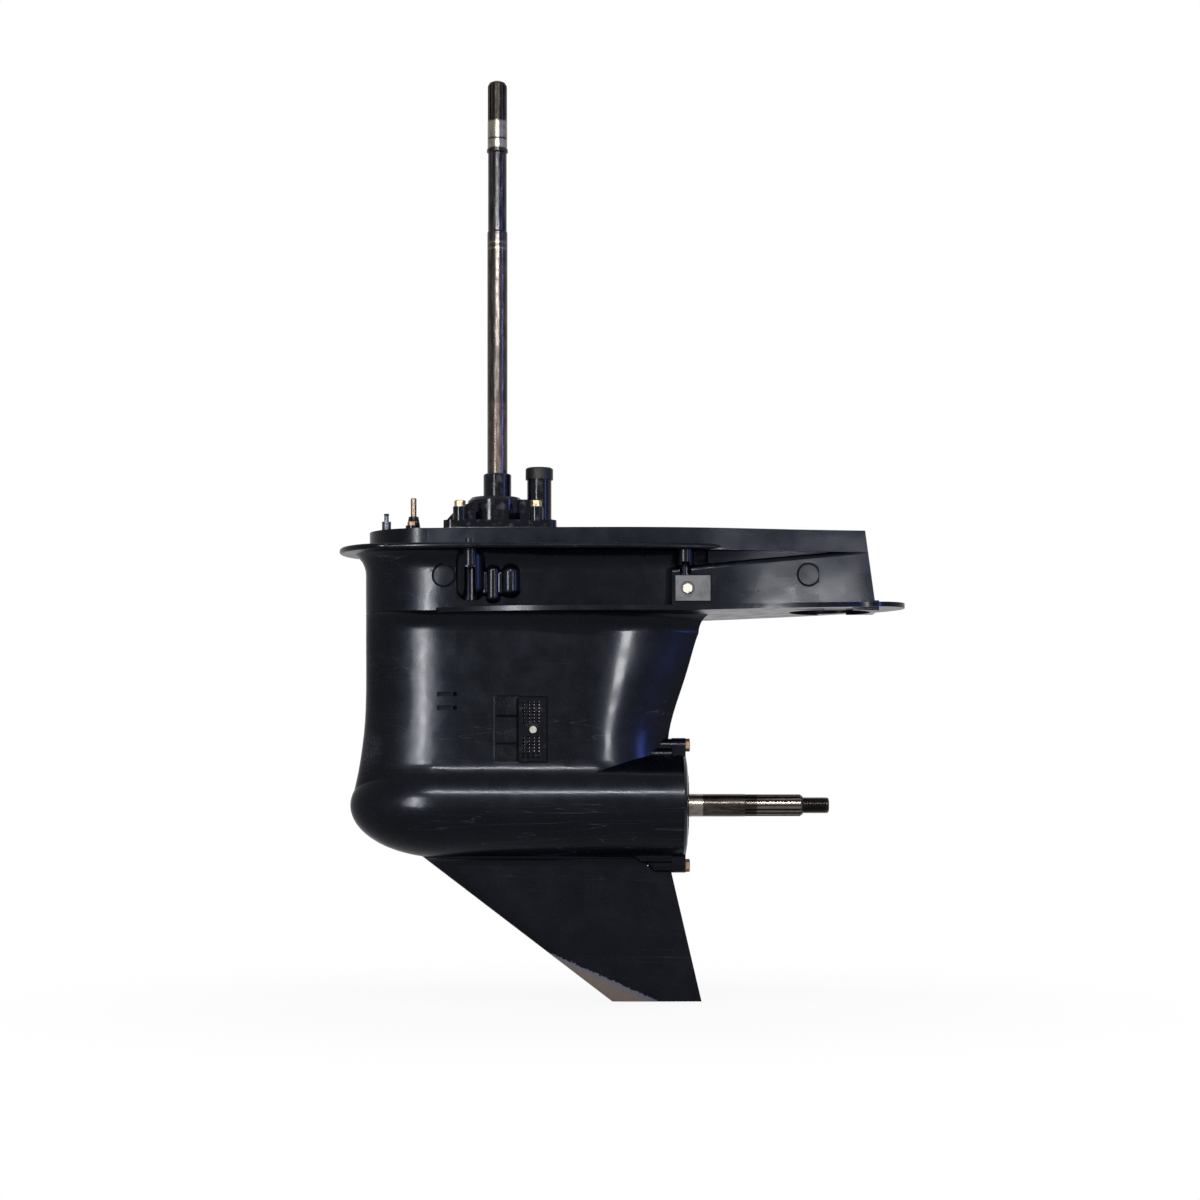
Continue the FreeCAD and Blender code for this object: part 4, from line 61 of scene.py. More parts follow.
# %% [markdown]
# ## Two helpers for every finish
# A colour is easiest to note down as an sRGB hex value, as a paint shop would, but shaders add and
# multiply linear light. One function turns the first into the second.
# Each pattern is sized by a real length in millimetres. Textures count features per metre, so a
# second function turns one into the other.

# %% Colour and pattern size
def linear(hex_colour):
    """An sRGB colour such as #1c1d20 as linear red, green, blue and alpha."""
    channels = []
    for start in (1, 3, 5):
        value = int(hex_colour[start:start + 2], 16) / 255
        if value <= 0.04045:
            channels.append(value / 12.92)
        else:
            channels.append(((value + 0.055) / 1.055) ** 2.4)
    return (*channels, 1.0)


def per_metre(size_mm):
    """Texture scale at which one feature is about this long."""
    return 1000.0 / size_mm


print("enamel black in linear light:", [round(c, 4) for c in linear("#1c1d20")[:3]])

# %% [markdown]
# A material is a small graph of nodes. One function adds any node with its settings, and puts a
# number, a colour or another node's output into each of its inputs. Another one starts a material
# and returns its shader and the place on the object that all its patterns read.

# %% Nodes and new materials
def add(tree, kind, settings=None, inputs=None):
    """One node with its settings, its inputs set to values or linked to outputs."""
    node = tree.nodes.new(kind)
    for name, value in (settings or {}).items():
        setattr(node, name, value)
    for key, value in (inputs or {}).items():
        if isinstance(value, bpy.types.NodeSocket):
            tree.links.new(value, node.inputs[key])
        else:
            node.inputs[key].default_value = value
    return node


def start_material(name, metallic=0.0, specular=0.5):
    """A material, its node tree, its shader and the object coordinates."""
    material = bpy.data.materials.new(name)
    material.use_nodes = True
    tree = material.node_tree
    shader = tree.nodes["Principled BSDF"]
    shader.inputs["Metallic"].default_value = metallic
    shader.inputs["Specular IOR Level"].default_value = specular
    place = add(tree, "ShaderNodeTexCoord").outputs["Object"]
    return material, tree, shader, place


# %% [markdown]
# ## Patterns that several finishes share
# Wear, dust and stains are patches: soft noise of a known size, cut off so that only its peaks
# are left. Scratches are long thin lines. Noise that is stretched along one direction has contour
# lines of just that form, so a scratch is where the stretched noise crosses its middle value, and
# a second, coarser noise leaves only some of them. Lines could also be drawn as thin meshes, but
# there are hundreds, and they have no thickness of their own.

# %% Numbers from numbers
def product(tree, first, second):
    """Where both patterns are, or the first one weakened by a number."""
    return add(tree, "ShaderNodeMath", {"operation": "MULTIPLY", "use_clamp": True},
               {0: first, 1: second}).outputs[0]


def either(tree, first, second):
    """Where at least one of two patterns is."""
    return add(tree, "ShaderNodeMath", {"operation": "MAXIMUM"}, {0: first, 1: second}).outputs[0]


def ramp(tree, value, start, end):
    """0 at the first value, 1 at the second, straight between them."""
    return add(tree, "ShaderNodeMapRange", None,
               {"Value": value, "From Min": start, "From Max": end}).outputs["Result"]


def fall(tree, value, start, end, kind="LINEAR"):
    """1 at the first value, 0 at the second."""
    return add(tree, "ShaderNodeMapRange", {"interpolation_type": kind},
               {"Value": value, "From Min": start, "From Max": end,
                "To Min": 1.0, "To Max": 0.0}).outputs["Result"]


def varied(tree, amount, low, high):
    """A number from low to high as the pattern goes from 0 to 1."""
    return add(tree, "ShaderNodeMapRange", None,
               {"Value": amount, "To Min": low, "To Max": high}).outputs["Result"]


print("number patterns: product, either, ramp, fall, varied")

# %% Patches and scratches
DEPTH_RATE = 0.35                     # Along Y the noise changes at this share of its rate.
COARSER = 5.0                         # The noise that picks scratches, against their own pitch.


def patches(tree, place, size_mm, low, high, detail=2.0):
    """0 where noise of this size is below low, 1 above high. Detail adds finer layers."""
    noise = add(tree, "ShaderNodeTexNoise", None,
                {"Vector": place, "Scale": per_metre(size_mm), "Detail": detail})
    return ramp(tree, noise.outputs["Fac"], low, high)


def scratches(tree, place, turn, length_mm, pitch_mm, width, share, seed):
    """0 to 1: thin lines along the side of the case, turned about the Y axis by this angle."""
    turned = add(tree, "ShaderNodeMapping", None,
                 {"Vector": place, "Rotation": (0.0, math.radians(turn), 0.0),
                  "Location": (seed, seed * 0.7, seed * 1.3),
                  "Scale": (pitch_mm / length_mm, DEPTH_RATE, 1.0)}).outputs["Vector"]
    noise = add(tree, "ShaderNodeTexNoise", None,
                {"Vector": turned, "Scale": per_metre(pitch_mm), "Detail": 1.0})
    offset = add(tree, "ShaderNodeMath", {"operation": "SUBTRACT"},
                 {0: noise.outputs["Fac"], 1: 0.5})
    distance = add(tree, "ShaderNodeMath", {"operation": "ABSOLUTE"}, {0: offset.outputs[0]})
    line = fall(tree, distance.outputs[0], 0.0, width)
    some = patches(tree, turned, pitch_mm * COARSER, 1.0 - share, 1.05 - share, 1.0)
    return product(tree, line, some)


def near(tree, place, centre, radius, edge):
    """1 within this radius of a point, 0 past a soft edge. All in metres."""
    distance = add(tree, "ShaderNodeVectorMath", {"operation": "DISTANCE"},
                   {0: place, 1: centre}).outputs["Value"]
    return fall(tree, distance, radius, radius + edge, "SMOOTHSTEP")


def tinted(tree, under, over, amount):
    """The colour under with the colour over laid on it by this amount."""
    mix = add(tree, "ShaderNodeMix", {"data_type": "RGBA"}, {0: amount, 6: under, 7: over})
    return mix.outputs[2]


def relief(tree, shader, layers):
    """Bumps of (height pattern, depth in mm), one upon the other, into the shader's normal."""
    normal = None
    for height, depth_mm in layers:
        inputs = {"Height": height, "Distance": depth_mm * MM, "Strength": 1.0}
        if normal is not None:
            inputs["Normal"] = normal
        normal = add(tree, "ShaderNodeBump", None, inputs).outputs["Normal"]
    tree.links.new(normal, shader.inputs["Normal"])
    return normal


finishes = {}
print("patterns: patches, scratches, near, tinted, relief")

# %% [markdown]
# ## Marks with a place of their own
# Three marks are not spread by chance. Stones have rubbed the nose, the skeg has dragged its foot
# over the ground, and silt has dried in the scoop ahead of the water inlet. Two functions find the
# last two from the place on the object: one measures how far a place lies below a ragged line in
# the side view, the other tells what lies in a box.

# %% Places of single marks
NOSE_PATCH = (-0.150, -0.020, -0.247)
NOSE_RADIUS = 0.010                   # Within this it is all rubbed, and it fades
NOSE_EDGE = 0.018                     # over this much more.
SCUFF_START = Vector((0.0708, 0.0, -0.4840))      # The scuff's upper edge meets the skeg's front
SCUFF_END = Vector((0.1860, 0.0, -0.5355))        # edge here, and ends at the foot here.
SCUFF_RAGGED = 3.0 * MM               # How far its upper edge goes up and down,
SCUFF_EDGE = 0.8 * MM                 # and over what depth the enamel thins out.
PRIMER_DEPTHS = (1.0 * MM, 7.0 * MM)  # Primer alone above the first, metal alone below the second.
SCOOP_CENTRE = (0.0127, 0.0, -0.225)
SCOOP_HALF = (0.0145, 1.0, 0.0385)
BOX_EDGE = 0.96                       # A box starts to fade at this share of its half size.


def below_line(tree, place, start, end, ragged):
    """Metres below a line in the side view, with a ragged edge this many metres deep."""
    run = (end - start).normalized()
    down = Vector((run.z, 0.0, -run.x))
    depth = add(tree, "ShaderNodeVectorMath", {"operation": "DOT_PRODUCT"},
                {0: place, 1: down}).outputs["Value"]
    torn = patches(tree, place, 3.0, 0.3, 0.7, 5.0)
    edge = varied(tree, torn, down.dot(start), down.dot(start) + ragged)
    return add(tree, "ShaderNodeMath", {"operation": "SUBTRACT"}, {0: depth, 1: edge}).outputs[0]


def inside_box(tree, place, centre, half):
    """1 within a box of the side view about a point, 0 outside."""
    shifted = add(tree, "ShaderNodeVectorMath", {"operation": "SUBTRACT"}, {0: place, 1: centre})
    share = add(tree, "ShaderNodeVectorMath", {"operation": "DIVIDE"},
                {0: shifted.outputs[0], 1: half})
    size = add(tree, "ShaderNodeVectorMath", {"operation": "ABSOLUTE"}, {0: share.outputs[0]})
    split = add(tree, "ShaderNodeSeparateXYZ", None, {0: size.outputs[0]})
    return fall(tree, either(tree, split.outputs["X"], split.outputs["Z"]), BOX_EDGE, 1.0)


print("scuff on the skeg is", round((SCUFF_END - SCUFF_START).length / MM), "mm long")

# %% [markdown]
# ## Gloss black enamel on the castings
# The case and the carrier are cast aluminium under sprayed black enamel. Spray leaves orange peel,
# a ripple about 2 mm across and a hundredth of a millimetre deep, which breaks up each highlight.
# Years of handling leave dust, fine pale scratches, a matte patch where the nose meets stones and
# a scuff on the skeg's foot, which shows grey primer at its edge and stained metal within. It could
# be painted on an image, but patterns that read the place on the object need no image and stay
# sharp close up.
# The gloss has two parts, as on the real paint: a thin clear skin gives the sharp core of each
# highlight, and the dusty paint below gives the haze about it. Both reflect less than real paint
# would, because here the whole backdrop is white, where a real studio is mostly dark.

# %% Enamel
ENAMEL_BLACKS = ("#030409", "#080a12")
ENAMEL_DUST = "#2a2c33"
SCRATCH_GREY = "#4a4e56"
RUBBED_GREY = "#2f3136"
PRIMER_GREY = "#696b7b"
BARE_BROWN = "#7a6e67"
COOL_SHINE = ("#d2dcff", "#e4eaff")   # Tints of the paint's and the skin's reflections.
PAINT_SHINE = 0.045
SKIN_SHINE = 0.10
PAINT_ROUGH = (0.26, 0.36)            # Clean, and smeared by handling.
SKIN_ROUGH = (0.10, 0.19)
DUST_STRENGTH = 0.4
SCRATCH_STRENGTH = 0.4
SILT_STRENGTH = 0.75
PEEL_DEPTH_MM = 0.016                 # Orange peel,
WAVE_DEPTH_MM = 0.20                  # broad unevenness of the casting,
DUST_DEPTH_MM = 0.010                 # and specks of dust.

# Turn in degrees, length and pitch in mm, width, share of the side with scratches, seed.
SCRATCH_SETS = (
    (6.0, 190.0, 8.0, 0.006, 0.46, 0.11),
    (-17.0, 150.0, 9.0, 0.005, 0.43, 0.37),
    (52.0, 120.0, 10.0, 0.005, 0.38, 0.71))


def enamel_wear(tree, place):
    """Colour of the worn enamel, how dusty it is, how bare, and how silted up."""
    # The spray lies thicker and thinner, in clouds about 60 mm across.
    cloud = patches(tree, place, 60.0, 0.35, 0.7, 3.0)
    colour = tinted(tree, linear(ENAMEL_BLACKS[0]), linear(ENAMEL_BLACKS[1]), cloud)
    # Real dust is finer than 1.5 mm, but finer specks wouldn't show.
    dust = patches(tree, place, 1.5, 0.62, 0.72, 1.0)
    colour = tinted(tree, colour, linear(ENAMEL_DUST), product(tree, dust, DUST_STRENGTH))
    for scratch_set in SCRATCH_SETS:
        line = scratches(tree, place, *scratch_set)
        colour = tinted(tree, colour, linear(SCRATCH_GREY), product(tree, line, SCRATCH_STRENGTH))
    # Stones rub the nose matte in spots about 3 mm across.
    mottle = patches(tree, place, 3.0, 0.30, 0.62, 3.0)
    worn = product(tree, near(tree, place, NOSE_PATCH, NOSE_RADIUS, NOSE_EDGE), mottle)
    colour = tinted(tree, colour, linear(RUBBED_GREY), worn)
    # The ground has cut through enamel and primer at the skeg's foot.
    depth = below_line(tree, place, SCUFF_START, SCUFF_END, SCUFF_RAGGED)
    scuff = ramp(tree, depth, 0.0, SCUFF_EDGE)
    through = ramp(tree, depth, *PRIMER_DEPTHS)
    primer = tinted(tree, linear(PRIMER_GREY), linear(BARE_BROWN), through)
    colour = tinted(tree, colour, primer, scuff)
    # Silt dulls the scoop.
    silt = product(tree, inside_box(tree, place, SCOOP_CENTRE, SCOOP_HALF), SILT_STRENGTH)
    return colour, dust, either(tree, either(tree, worn, scuff), silt), silt


def gloss_black_enamel():
    """Sprayed enamel over cast aluminium: near black, glossy, with orange peel and fine wear."""
    material, tree, shader, place = start_material("gloss_black_enamel")
    colour, dust, bare, silt = enamel_wear(tree, place)
    tree.links.new(colour, shader.inputs["Base Color"])
    smear = patches(tree, place, 22.0, 0.35, 0.7, 4.0)
    tree.links.new(varied(tree, smear, *PAINT_ROUGH), shader.inputs["Roughness"])
    tree.links.new(varied(tree, silt, PAINT_SHINE, 0.0), shader.inputs["Specular IOR Level"])
    tree.links.new(varied(tree, bare, SKIN_SHINE, 0.0), shader.inputs["Coat Weight"])
    tree.links.new(varied(tree, smear, *SKIN_ROUGH), shader.inputs["Coat Roughness"])
    peel = patches(tree, place, 2.2, 0.0, 1.0, 1.0)
    waves = patches(tree, place, 30.0, 0.0, 1.0, 1.0)
    normal = relief(tree, shader, [(waves, WAVE_DEPTH_MM), (peel, PEEL_DEPTH_MM),
                                   (dust, DUST_DEPTH_MM)])
    tree.links.new(normal, shader.inputs["Coat Normal"])
    shader.inputs["Specular Tint"].default_value = linear(COOL_SHINE[0])
    shader.inputs["Coat Tint"].default_value = linear(COOL_SHINE[1])
    return material


finishes["gloss_black_paint"] = gloss_black_enamel()
print("enamel nodes:", len(finishes["gloss_black_paint"].node_tree.nodes))

# %% [markdown]
# ## Moulded black nylon
# The pump housing, the screens and the shift rod's retainer are glass-filled nylon, moulded in a
# polished die. It is black all through and a little softer in its shine than the enamel. Scuffs
# from spanners show as grey rubs.

# %% Nylon
def moulded_black_nylon():
    """Glass-filled nylon from a polished die: satin to glossy, with grey rubs."""
    material, tree, shader, place = start_material("moulded_black_nylon", specular=0.10)
    rubs = patches(tree, place, 9.0, 0.52, 0.75, 4.0)
    colour = tinted(tree, linear("#0d0f19"), linear("#222538"), rubs)
    tree.links.new(colour, shader.inputs["Base Color"])
    tree.links.new(varied(tree, rubs, 0.12, 0.40), shader.inputs["Roughness"])
    grain = patches(tree, place, 1.5, 0.0, 1.0, 1.0)
    relief(tree, shader, [(grain, 0.015)])
    return material


finishes["black_composite"] = moulded_black_nylon()
print("nylon ready")

# %% [markdown]
# ## Turned steel under old oil
# Both shafts are turned and ground steel. Oil has baked onto them in brown bands, while seals and
# bearings have polished some lengths bright. The tool leaves fine rings across the shaft, about a
# tenth of a millimetre apart. They are drawn at 0.9 mm, since finer ones wouldn't show.
# The bands go along the shaft's own axis, so one function makes both shafts from a list of bands.
# Old grease stays in the splines, below the radius at which the hub wipes the steel.

# %% Oiled steel with bands along the shaft
BAND_BLEND = 0.6 * MM                 # Half the length over which one band turns into the next.
STREAK_SILVER = "#7d766f"
STREAK_STRENGTH = 0.22
OIL_STAIN = "#1d1917"
STAIN_STRENGTH = 0.45
OLD_GREASE = "#151210"
GREASE_STRENGTH = 0.85
RING_DEPTH_MM = 0.008
DRIVE_GROOVE_R = 10.3 * MM
PROPELLER_GROOVE_R = 11.7 * MM


def banded(tree, along, bands, blend):
    """Colour along a shaft from (start in metres, hex colour), with soft changes between bands."""
    colour = linear(bands[0][1])
    for start, shade in bands[1:]:
        past = ramp(tree, along, start - blend, start + blend)
        colour = tinted(tree, colour, linear(shade), past)
    return colour


def beside_axis(tree, place, axis, axis_point):
    """Distance in metres from a shaft's axis."""
    across = [1.0, 1.0, 1.0]
    across["XYZ".index(axis)] = 0.0
    flat = add(tree, "ShaderNodeVectorMath", {"operation": "MULTIPLY_ADD"},
               {0: place, 1: across, 2: [-c for c in axis_point]}).outputs[0]
    return add(tree, "ShaderNodeVectorMath", {"operation": "LENGTH"}, {0: flat}).outputs["Value"]


def scaled(tree, place, axis, along, across):
    """The place, with one scale along an axis and another across it."""
    scale = [across, across, across]
    scale["XYZ".index(axis)] = along
    return add(tree, "ShaderNodeMapping", None, {"Vector": place, "Scale": scale}).outputs["Vector"]


def oiled_steel(name, axis, bands, axis_point, groove_r):
    """Turned steel with baked oil: rings, streaks along the axis and grime below a radius."""
    material, tree, shader, place = start_material(name, metallic=0.9)
    along = add(tree, "ShaderNodeSeparateXYZ", None, {0: place}).outputs[axis]
    colour = banded(tree, along, bands, BAND_BLEND)
    streak = patches(tree, scaled(tree, place, axis, 0.12, 1.0), 2.4, 0.45, 0.72, 3.0)
    colour = tinted(tree, colour, linear(STREAK_SILVER), product(tree, streak, STREAK_STRENGTH))
    stain = patches(tree, place, 6.0, 0.50, 0.68, 4.0)
    colour = tinted(tree, colour, linear(OIL_STAIN), product(tree, stain, STAIN_STRENGTH))
    radius = beside_axis(tree, place, axis, axis_point)
    grime = fall(tree, radius, groove_r - 0.4 * MM, groove_r + 0.3 * MM)
    colour = tinted(tree, colour, linear(OLD_GREASE), product(tree, grime, GREASE_STRENGTH))
    tree.links.new(colour, shader.inputs["Base Color"])
    tree.links.new(varied(tree, stain, 0.22, 0.30), shader.inputs["Roughness"])
    rings = scaled(tree, place, axis, 1.0, 0.05)
    relief(tree, shader, [(patches(tree, rings, 0.9, 0.0, 1.0, 1.0), RING_DEPTH_MM)])
    return material


# Each band is its start along the axis in metres and its colour.
DRIVE_BANDS = (
    (-0.300, "#332c29"),              # brown oil
    (0.150, "#25211f"),               # darker oil
    (0.326, "#4c453f"),               # two pale rings
    (0.328, "#231f1d"),
    (0.333, "#4f4842"),
    (0.335, "#221f1f"),
    (0.346, "#151519"),               # blued length of smaller radius
    (0.437, "#100f0f"),               # collar
    (0.443, "#6f6a64"),               # bright journal
    (0.4525, "#1b1817"),              # dark ring across it
    (0.4545, "#6a655e"),
    (0.4735, "#1f1a18"))              # greased splines
PROPELLER_BANDS = (
    (-0.080, "#6f665e"),              # inside the case
    (0.217, "#6c6761"),               # seal's journal
    (0.236, "#251f1b"),               # hub's seat and the first of the splines
    (0.298, "#57514b"),               # worn splines
    (0.350, "#1b1817"))               # threaded end
drive_steel = oiled_steel("oiled_drive_shaft_steel", "Z", DRIVE_BANDS,
                          (0.0, 0.0, 0.0), DRIVE_GROOVE_R)
propeller_steel = oiled_steel("oiled_propeller_shaft_steel", "X", PROPELLER_BANDS,
                              (0.0, 0.0, PROPELLER_AXIS_Z), PROPELLER_GROOVE_R)
finishes["shaft_steel"] = drive_steel
print("bands on the two shafts:", len(DRIVE_BANDS), "and", len(PROPELLER_BANDS))

# %% [markdown]
# ## Plain metals
# The other metals differ in colour, in how rough their surface is and in how strong their stains
# are. A metal needs its colour and roughness only, since the default index of refraction has no
# say once metallic is 1. One function makes them all, because they are all a base colour with a
# stain of a second colour over it. The tool marks are about 0.2 mm wide on real bolts and gears
# and are drawn at 1 mm, since finer ones wouldn't show.

# %% Plain metals
TOOL_MARK_MM = 1.0
TOOL_MARK_DEPTH_MM = 0.008


def stained_metal(name, base, stain, stain_mm, rough, rough_stain, metallic=1.0):
    """A metal with patches of a second colour and a fine tooled grain."""
    material, tree, shader, place = start_material(name, metallic=metallic)
    patch = patches(tree, place, stain_mm, 0.42, 0.66, 4.0)
    colour = tinted(tree, linear(base), linear(stain), patch)
    tree.links.new(colour, shader.inputs["Base Color"])
    tree.links.new(varied(tree, patch, rough, rough_stain), shader.inputs["Roughness"])
    marks = patches(tree, place, TOOL_MARK_MM, 0.0, 1.0, 1.0)
    relief(tree, shader, [(marks, TOOL_MARK_DEPTH_MM)])
    return material


# Each is its name, its colour, its stain's colour and size in mm, and how rough it is unstained
# and stained.
# Forged and ground gears with a film of oil.
finishes["gear_steel"] = stained_metal(
    "machined_gear_steel", "#9c9a96", "#6f6a63", 8.0, 0.28, 0.42)
# Hardened races and rollers, ground bright.
finishes["bearing_steel"] = stained_metal(
    "ground_bearing_steel", "#c4c4c6", "#a9a8a6", 12.0, 0.16, 0.24)
# Screws and plates that sea water has dulled.
finishes["stainless_steel"] = stained_metal(
    "stainless_steel", "#8e8b85", "#68645d", 5.0, 0.24, 0.40)
# Porous bushes, warm and matte.
finishes["bronze_bush"] = stained_metal(
    "sintered_bronze", "#b98d4e", "#8f6936", 3.0, 0.38, 0.50)
# Steel bolts with old yellow zinc on them, tan where it has worn.
finishes["brass_fastener"] = stained_metal(
    "yellow_zinc_plating", "#8d7c62", "#5c503e", 3.5, 0.36, 0.55)
# Anodes: cast zinc under a dark crust.
finishes["zinc_anode"] = stained_metal(
    "sacrificial_zinc", "#303134", "#26272a", 9.0, 0.48, 0.62, 0.3)
# Bolts that oil has browned, dull grey ones, the splined shift rod and blackened small fittings.
oily_bolt = stained_metal("oily_bolt_steel", "#7d6652", "#463a30", 4.0, 0.32, 0.52)
grey_bolt = stained_metal("dull_bolt_steel", "#8f897e", "#5e594f", 3.0, 0.34, 0.50)
rod_steel = stained_metal("weathered_rod_steel", "#6a5e51", "#463c33", 2.5, 0.34, 0.50)
dark_fitting = stained_metal("blackened_fitting_steel", "#3d3f43", "#242629", 5.0, 0.34, 0.50)
print("steels:", sum(1 for m in bpy.data.materials if "steel" in m.name))

# %% [markdown]
# ## Rubber and gasket
# The grommet, seals and impeller are nitrile rubber: black, matte and slightly dusty. The gasket
# is pressed fibre, a warm dark grey with visible fibres about 2 mm long.

# %% Rubber and fibre
def nitrile_rubber():
    """Moulded rubber: black and matte, with grey bloom."""
    material, tree, shader, place = start_material("nitrile_rubber", specular=0.12)
    bloom = patches(tree, place, 5.0, 0.45, 0.75, 4.0)
    colour = tinted(tree, linear("#0a0a0b"), linear("#18181a"), bloom)
    tree.links.new(colour, shader.inputs["Base Color"])
    tree.links.new(varied(tree, bloom, 0.42, 0.65), shader.inputs["Roughness"])
    relief(tree, shader, [(patches(tree, place, 1.2, 0.0, 1.0, 2.0), 0.02)])
    return material


def pressed_fibre():
    """Gasket sheet: compressed fibres in a binder, warm and dark from oil."""
    material, tree, shader, place = start_material("pressed_fibre_gasket", specular=0.3)
    fibre = patches(tree, place, 2.0, 0.4, 0.7, 4.0)
    colour = tinted(tree, linear("#2e2b27"), linear("#3d3933"), fibre)
    tree.links.new(colour, shader.inputs["Base Color"])
    shader.inputs["Roughness"].default_value = 0.85
    return material


finishes["black_rubber"] = nitrile_rubber()
finishes["gasket_sheet"] = pressed_fibre()
print("finishes by slot:", sorted(finishes))

# %% [markdown]
# ## Give each CAD node its finish
# The record names a material slot for each node. Most nodes take the finish of their slot. A few
# have their own: the propeller shaft's bands run along X, some bolts are oilier or duller than
# others, and the shift rod, the wear plate and the speedometer nipple are darker than new steel.

# %% Assign the finishes
own_finish = {
    "propeller_shaft": propeller_steel,
    "carrier_bolts": oily_bolt,
    "anode_bolts": grey_bolt,
    "retainer_bolt": oily_bolt,
    "shift_rod": rod_steel,
    "pump_wear_plate": dark_fitting,
    "speedometer_nipple": dark_fitting,
}
slot_of = {entry["node"]: entry["material_slot"] for entry in frame["record"]["subparts"]}
for name, node in frame["nodes"].items():
    finish = own_finish.get(name, finishes[slot_of[name]])
    node.data.materials.clear()
    node.data.materials.append(finish)
print("dressed", len(slot_of), "nodes")

# %% [markdown]
# ## The thread on the propeller shaft
# The shaft ends in a thread 19 mm across, for the propeller nut. It is a vee that turns about the
# shaft while it moves along it. The spin operator does just that when it is also given a step
# along the axis, so the vee is three points, and the spin makes the rest. An image of a thread
# would do from afar, but the crests show in the outline of the shaft's end.

# %% Thread
THREAD_ROOT_R = 8.6 * MM
THREAD_CREST_R = 9.5 * MM
THREAD_PITCH = 1.8 * MM
VEE_WIDTH = 0.9                       # Share of the pitch that one vee fills.
THREAD_START = 352.0 * MM
THREAD_END = 376.5 * MM


def threaded(name, start, end, axis_point, pitch, root, crest, segments=28):
    """A helical ridge along X about a point of the shaft's axis."""
    turns = (end - start) / pitch
    mesh = bpy.data.meshes.new(name)
    bm = bmesh.new()
    vee = pitch * VEE_WIDTH
    corners = [(start, root), (start + vee / 2, crest), (start + vee, root)]
    ring = [bm.verts.new((x, 0.0, axis_point.z + radius)) for x, radius in corners]
    edges = [bm.edges.new((ring[k], ring[(k + 1) % 3])) for k in range(3)]
    steps = int(turns * segments)
    bmesh.ops.spin(bm, geom=ring + edges, cent=axis_point, axis=(1.0, 0.0, 0.0),
                   dvec=(pitch / segments, 0.0, 0.0), angle=turns * 2 * math.pi, steps=steps,
                   use_merge=False, use_duplicate=False)
    open_edges = [e for e in bm.edges if len(e.link_faces) == 1]
    bmesh.ops.holes_fill(bm, edges=open_edges, sides=3)
    bmesh.ops.recalc_face_normals(bm, faces=bm.faces)
    bm.to_mesh(mesh)
    bm.free()
    piece = bpy.data.objects.new(name, mesh)
    bpy.context.scene.collection.objects.link(piece)
    piece.data.materials.append(propeller_steel)
    return piece


thread = threaded("propeller_nut_thread", THREAD_START, THREAD_END,
                  Vector((0.0, 0.0, PROPELLER_AXIS_Z)),
                  THREAD_PITCH, THREAD_ROOT_R, THREAD_CREST_R)
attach(thread, "propeller_shaft")
print("thread faces:", len(thread.data.polygons))

# %% [markdown]
# ## Floor
# The unit stands on the foot of its skeg on a plain pale floor. To the camera, and in gloss and
# glass, the floor is mostly white light of strength 1, as the backdrop is, so that no horizon
# shows. The rest is a pale diffuse surface, which keeps the shadow.

# %% Floor
floor_z = cad_low.z - 0.5 * MM
FLOOR_HALF_WIDTH = 6.0
SHADOW_CENTRE = (0.1, 0.0, floor_z)
SHADOW_RADIUS = 0.25                  # The shadow is kept to here, and has melted away
SHADOW_EDGE = 0.6                     # this much farther out.
NEAR_GLOW = 0.88                      # Share of white light where the shadow is kept.


def pale_floor():
    """Matte white floor that melts into a white backdrop and keeps the shadow."""
    material, tree, shader, place = start_material("pale_studio_floor", specular=0.0)
    shader.inputs["Base Color"].default_value = linear("#f2f2f2")
    shader.inputs["Roughness"].default_value = 1.0
    rays = add(tree, "ShaderNodeLightPath")
    seen = either(tree, rays.outputs["Is Camera Ray"], rays.outputs["Is Glossy Ray"])
    seen = either(tree, seen, rays.outputs["Is Transmission Ray"])
    close = near(tree, place, SHADOW_CENTRE, SHADOW_RADIUS, SHADOW_EDGE)
    share = product(tree, seen, varied(tree, close, 1.0, NEAR_GLOW))
    glow = add(tree, "ShaderNodeEmission", None, {"Color": (1.0, 1.0, 1.0, 1.0), "Strength": 1.0})
    mix = add(tree, "ShaderNodeMixShader", None,
              {0: share, 1: shader.outputs["BSDF"], 2: glow.outputs["Emission"]})
    tree.links.new(mix.outputs[0], tree.nodes["Material Output"].inputs["Surface"])
    return material


bm = bmesh.new()
bmesh.ops.create_grid(bm, x_segments=1, y_segments=1, size=FLOOR_HALF_WIDTH,
                      matrix=Matrix.Translation((0.0, 0.0, floor_z)))
floor_mesh = bpy.data.meshes.new("floor")
bm.to_mesh(floor_mesh)
bm.free()
floor = bpy.data.objects.new("floor", floor_mesh)
bpy.context.scene.collection.objects.link(floor)
floor.data.materials.append(pale_floor())
print("floor at", round(floor_z, 4))

# %% [markdown]
# ## Light
# Black gloss shows hardly anything of its own: it is drawn by what it reflects. Two upright
# strips, left and right of the camera, draw the two streaks on the strut. The left one has a
# broad, weaker one about it for its haze, and the right one is short, so that it stays out of the
# box at the stern. A long one above the camera draws the streak along the torpedo, and a bluish
# one aft gives the cool edges. They light the gloss alone, so that the streaks can be bright while
# matte colours keep the level of a white sky. The top bank and the backdrop give that level and
# the soft shadow.

# %% World and soft boxes
AIM = Vector((0.12, 0.0, -0.10))      # The middle of the case.
FILL_STRENGTH = 0.80                  # The white sky as a lamp.


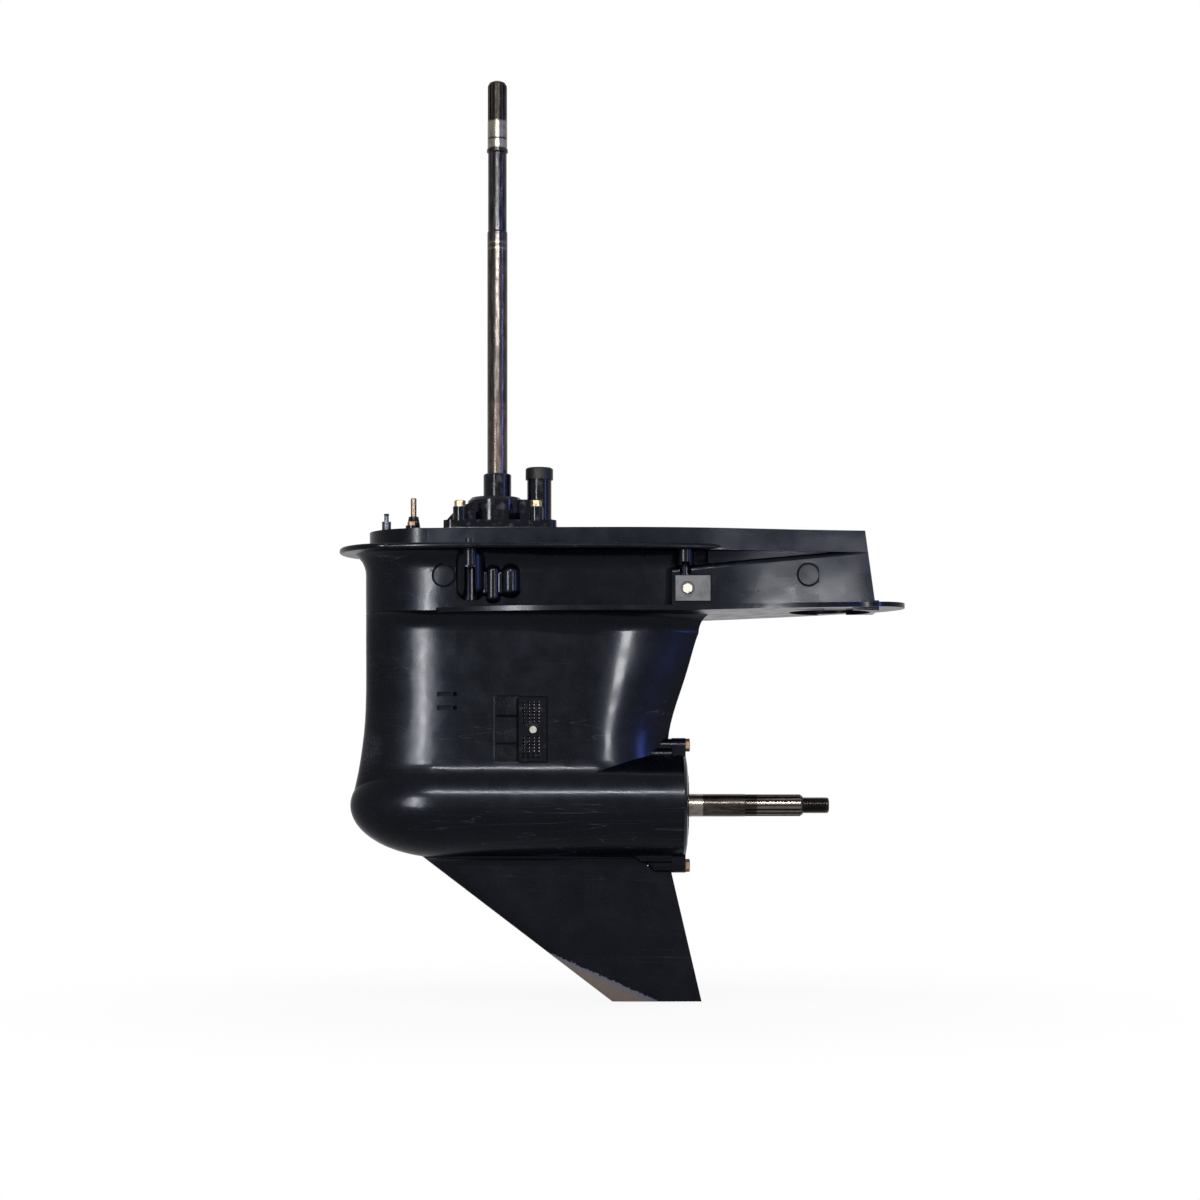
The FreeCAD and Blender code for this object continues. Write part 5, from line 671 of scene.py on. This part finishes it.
def white_backdrop():
    """World light: white to the camera, gloss and glass, plain fill for the rest."""
    world = bpy.data.worlds.new("white_backdrop")
    bpy.context.scene.world = world
    world.use_nodes = True
    tree = world.node_tree
    rays = add(tree, "ShaderNodeLightPath")
    seen = either(tree, rays.outputs["Is Camera Ray"], rays.outputs["Is Glossy Ray"])
    seen = either(tree, seen, rays.outputs["Is Transmission Ray"])
    strength = varied(tree, seen, FILL_STRENGTH, 1.0)
    background = tree.nodes["Background"]
    background.inputs["Color"].default_value = (1.0, 1.0, 1.0, 1.0)
    tree.links.new(strength, background.inputs["Strength"])


def soft_box(name, place, width, height, power, colour, fills=False):
    """A rectangular area lamp that faces the object, for the gloss alone or as fill light too."""
    lamp = bpy.data.lights.new(name, "AREA")
    lamp.shape = "RECTANGLE"
    lamp.size = width
    lamp.size_y = height
    lamp.energy = power
    lamp.color = linear(colour)[:3]
    box = bpy.data.objects.new(name, lamp)
    box.location = place
    box.rotation_euler = (AIM - Vector(place)).to_track_quat("-Z", "Y").to_euler()
    box.visible_diffuse = fills
    bpy.context.scene.collection.objects.link(box)
    return box


white_backdrop()
# Sizes are in metres, powers in watts.
boxes = [
    soft_box("left_strip", (-0.88, -1.93, -0.05), 0.14, 0.7, 28.0, "#ffffff"),
    soft_box("left_haze", (-0.90, -1.95, -0.05), 0.50, 0.7, 30.0, "#ffffff"),
    soft_box("right_strip", (1.11, -1.82, -0.10), 0.20, 0.32, 25.0, "#ffffff"),
    soft_box("upper_strip", (0.05, -1.85, 0.70), 1.3, 0.08, 60.0, "#ffffff"),
    soft_box("top_bank", (0.1, -0.5, 1.9), 1.2, 0.6, 8.0, "#ffffff", True),
    soft_box("stern_fill", (1.8, -1.0, 0.25), 0.16, 1.2, 30.0, "#5f7cf0"),
]
print("soft boxes:", [(b.name, round(b.data.energy, 1)) for b in boxes])

# %% [markdown]
# ## Camera
# The photograph looks square at the port side from about 3 m, with a long lens, at the height of
# the propeller shaft: both plates show a little of their undersides. A raised frame keeps the
# uprights parallel, which is what vertical shift does on a real camera.

# %% Camera and view
SENSOR_MM = 36.0
LENS_MM = 78.26
RAISE = 0.158                         # Vertical shift, as a share of the sensor's width.
CAMERA_PLACE = (0.118, -3.0, -0.294)

camera_data = bpy.data.cameras.new("side_camera")
camera_data.sensor_width = SENSOR_MM
camera_data.lens = LENS_MM
camera_data.shift_y = RAISE
camera = bpy.data.objects.new("side_camera", camera_data)
camera.location = CAMERA_PLACE
camera.rotation_euler = (math.radians(90.0), 0.0, 0.0)
bpy.context.scene.collection.objects.link(camera)
bpy.context.scene.camera = camera
bpy.context.scene.view_settings.view_transform = "Standard"
print("camera lens", LENS_MM, "mm, raised by", RAISE)
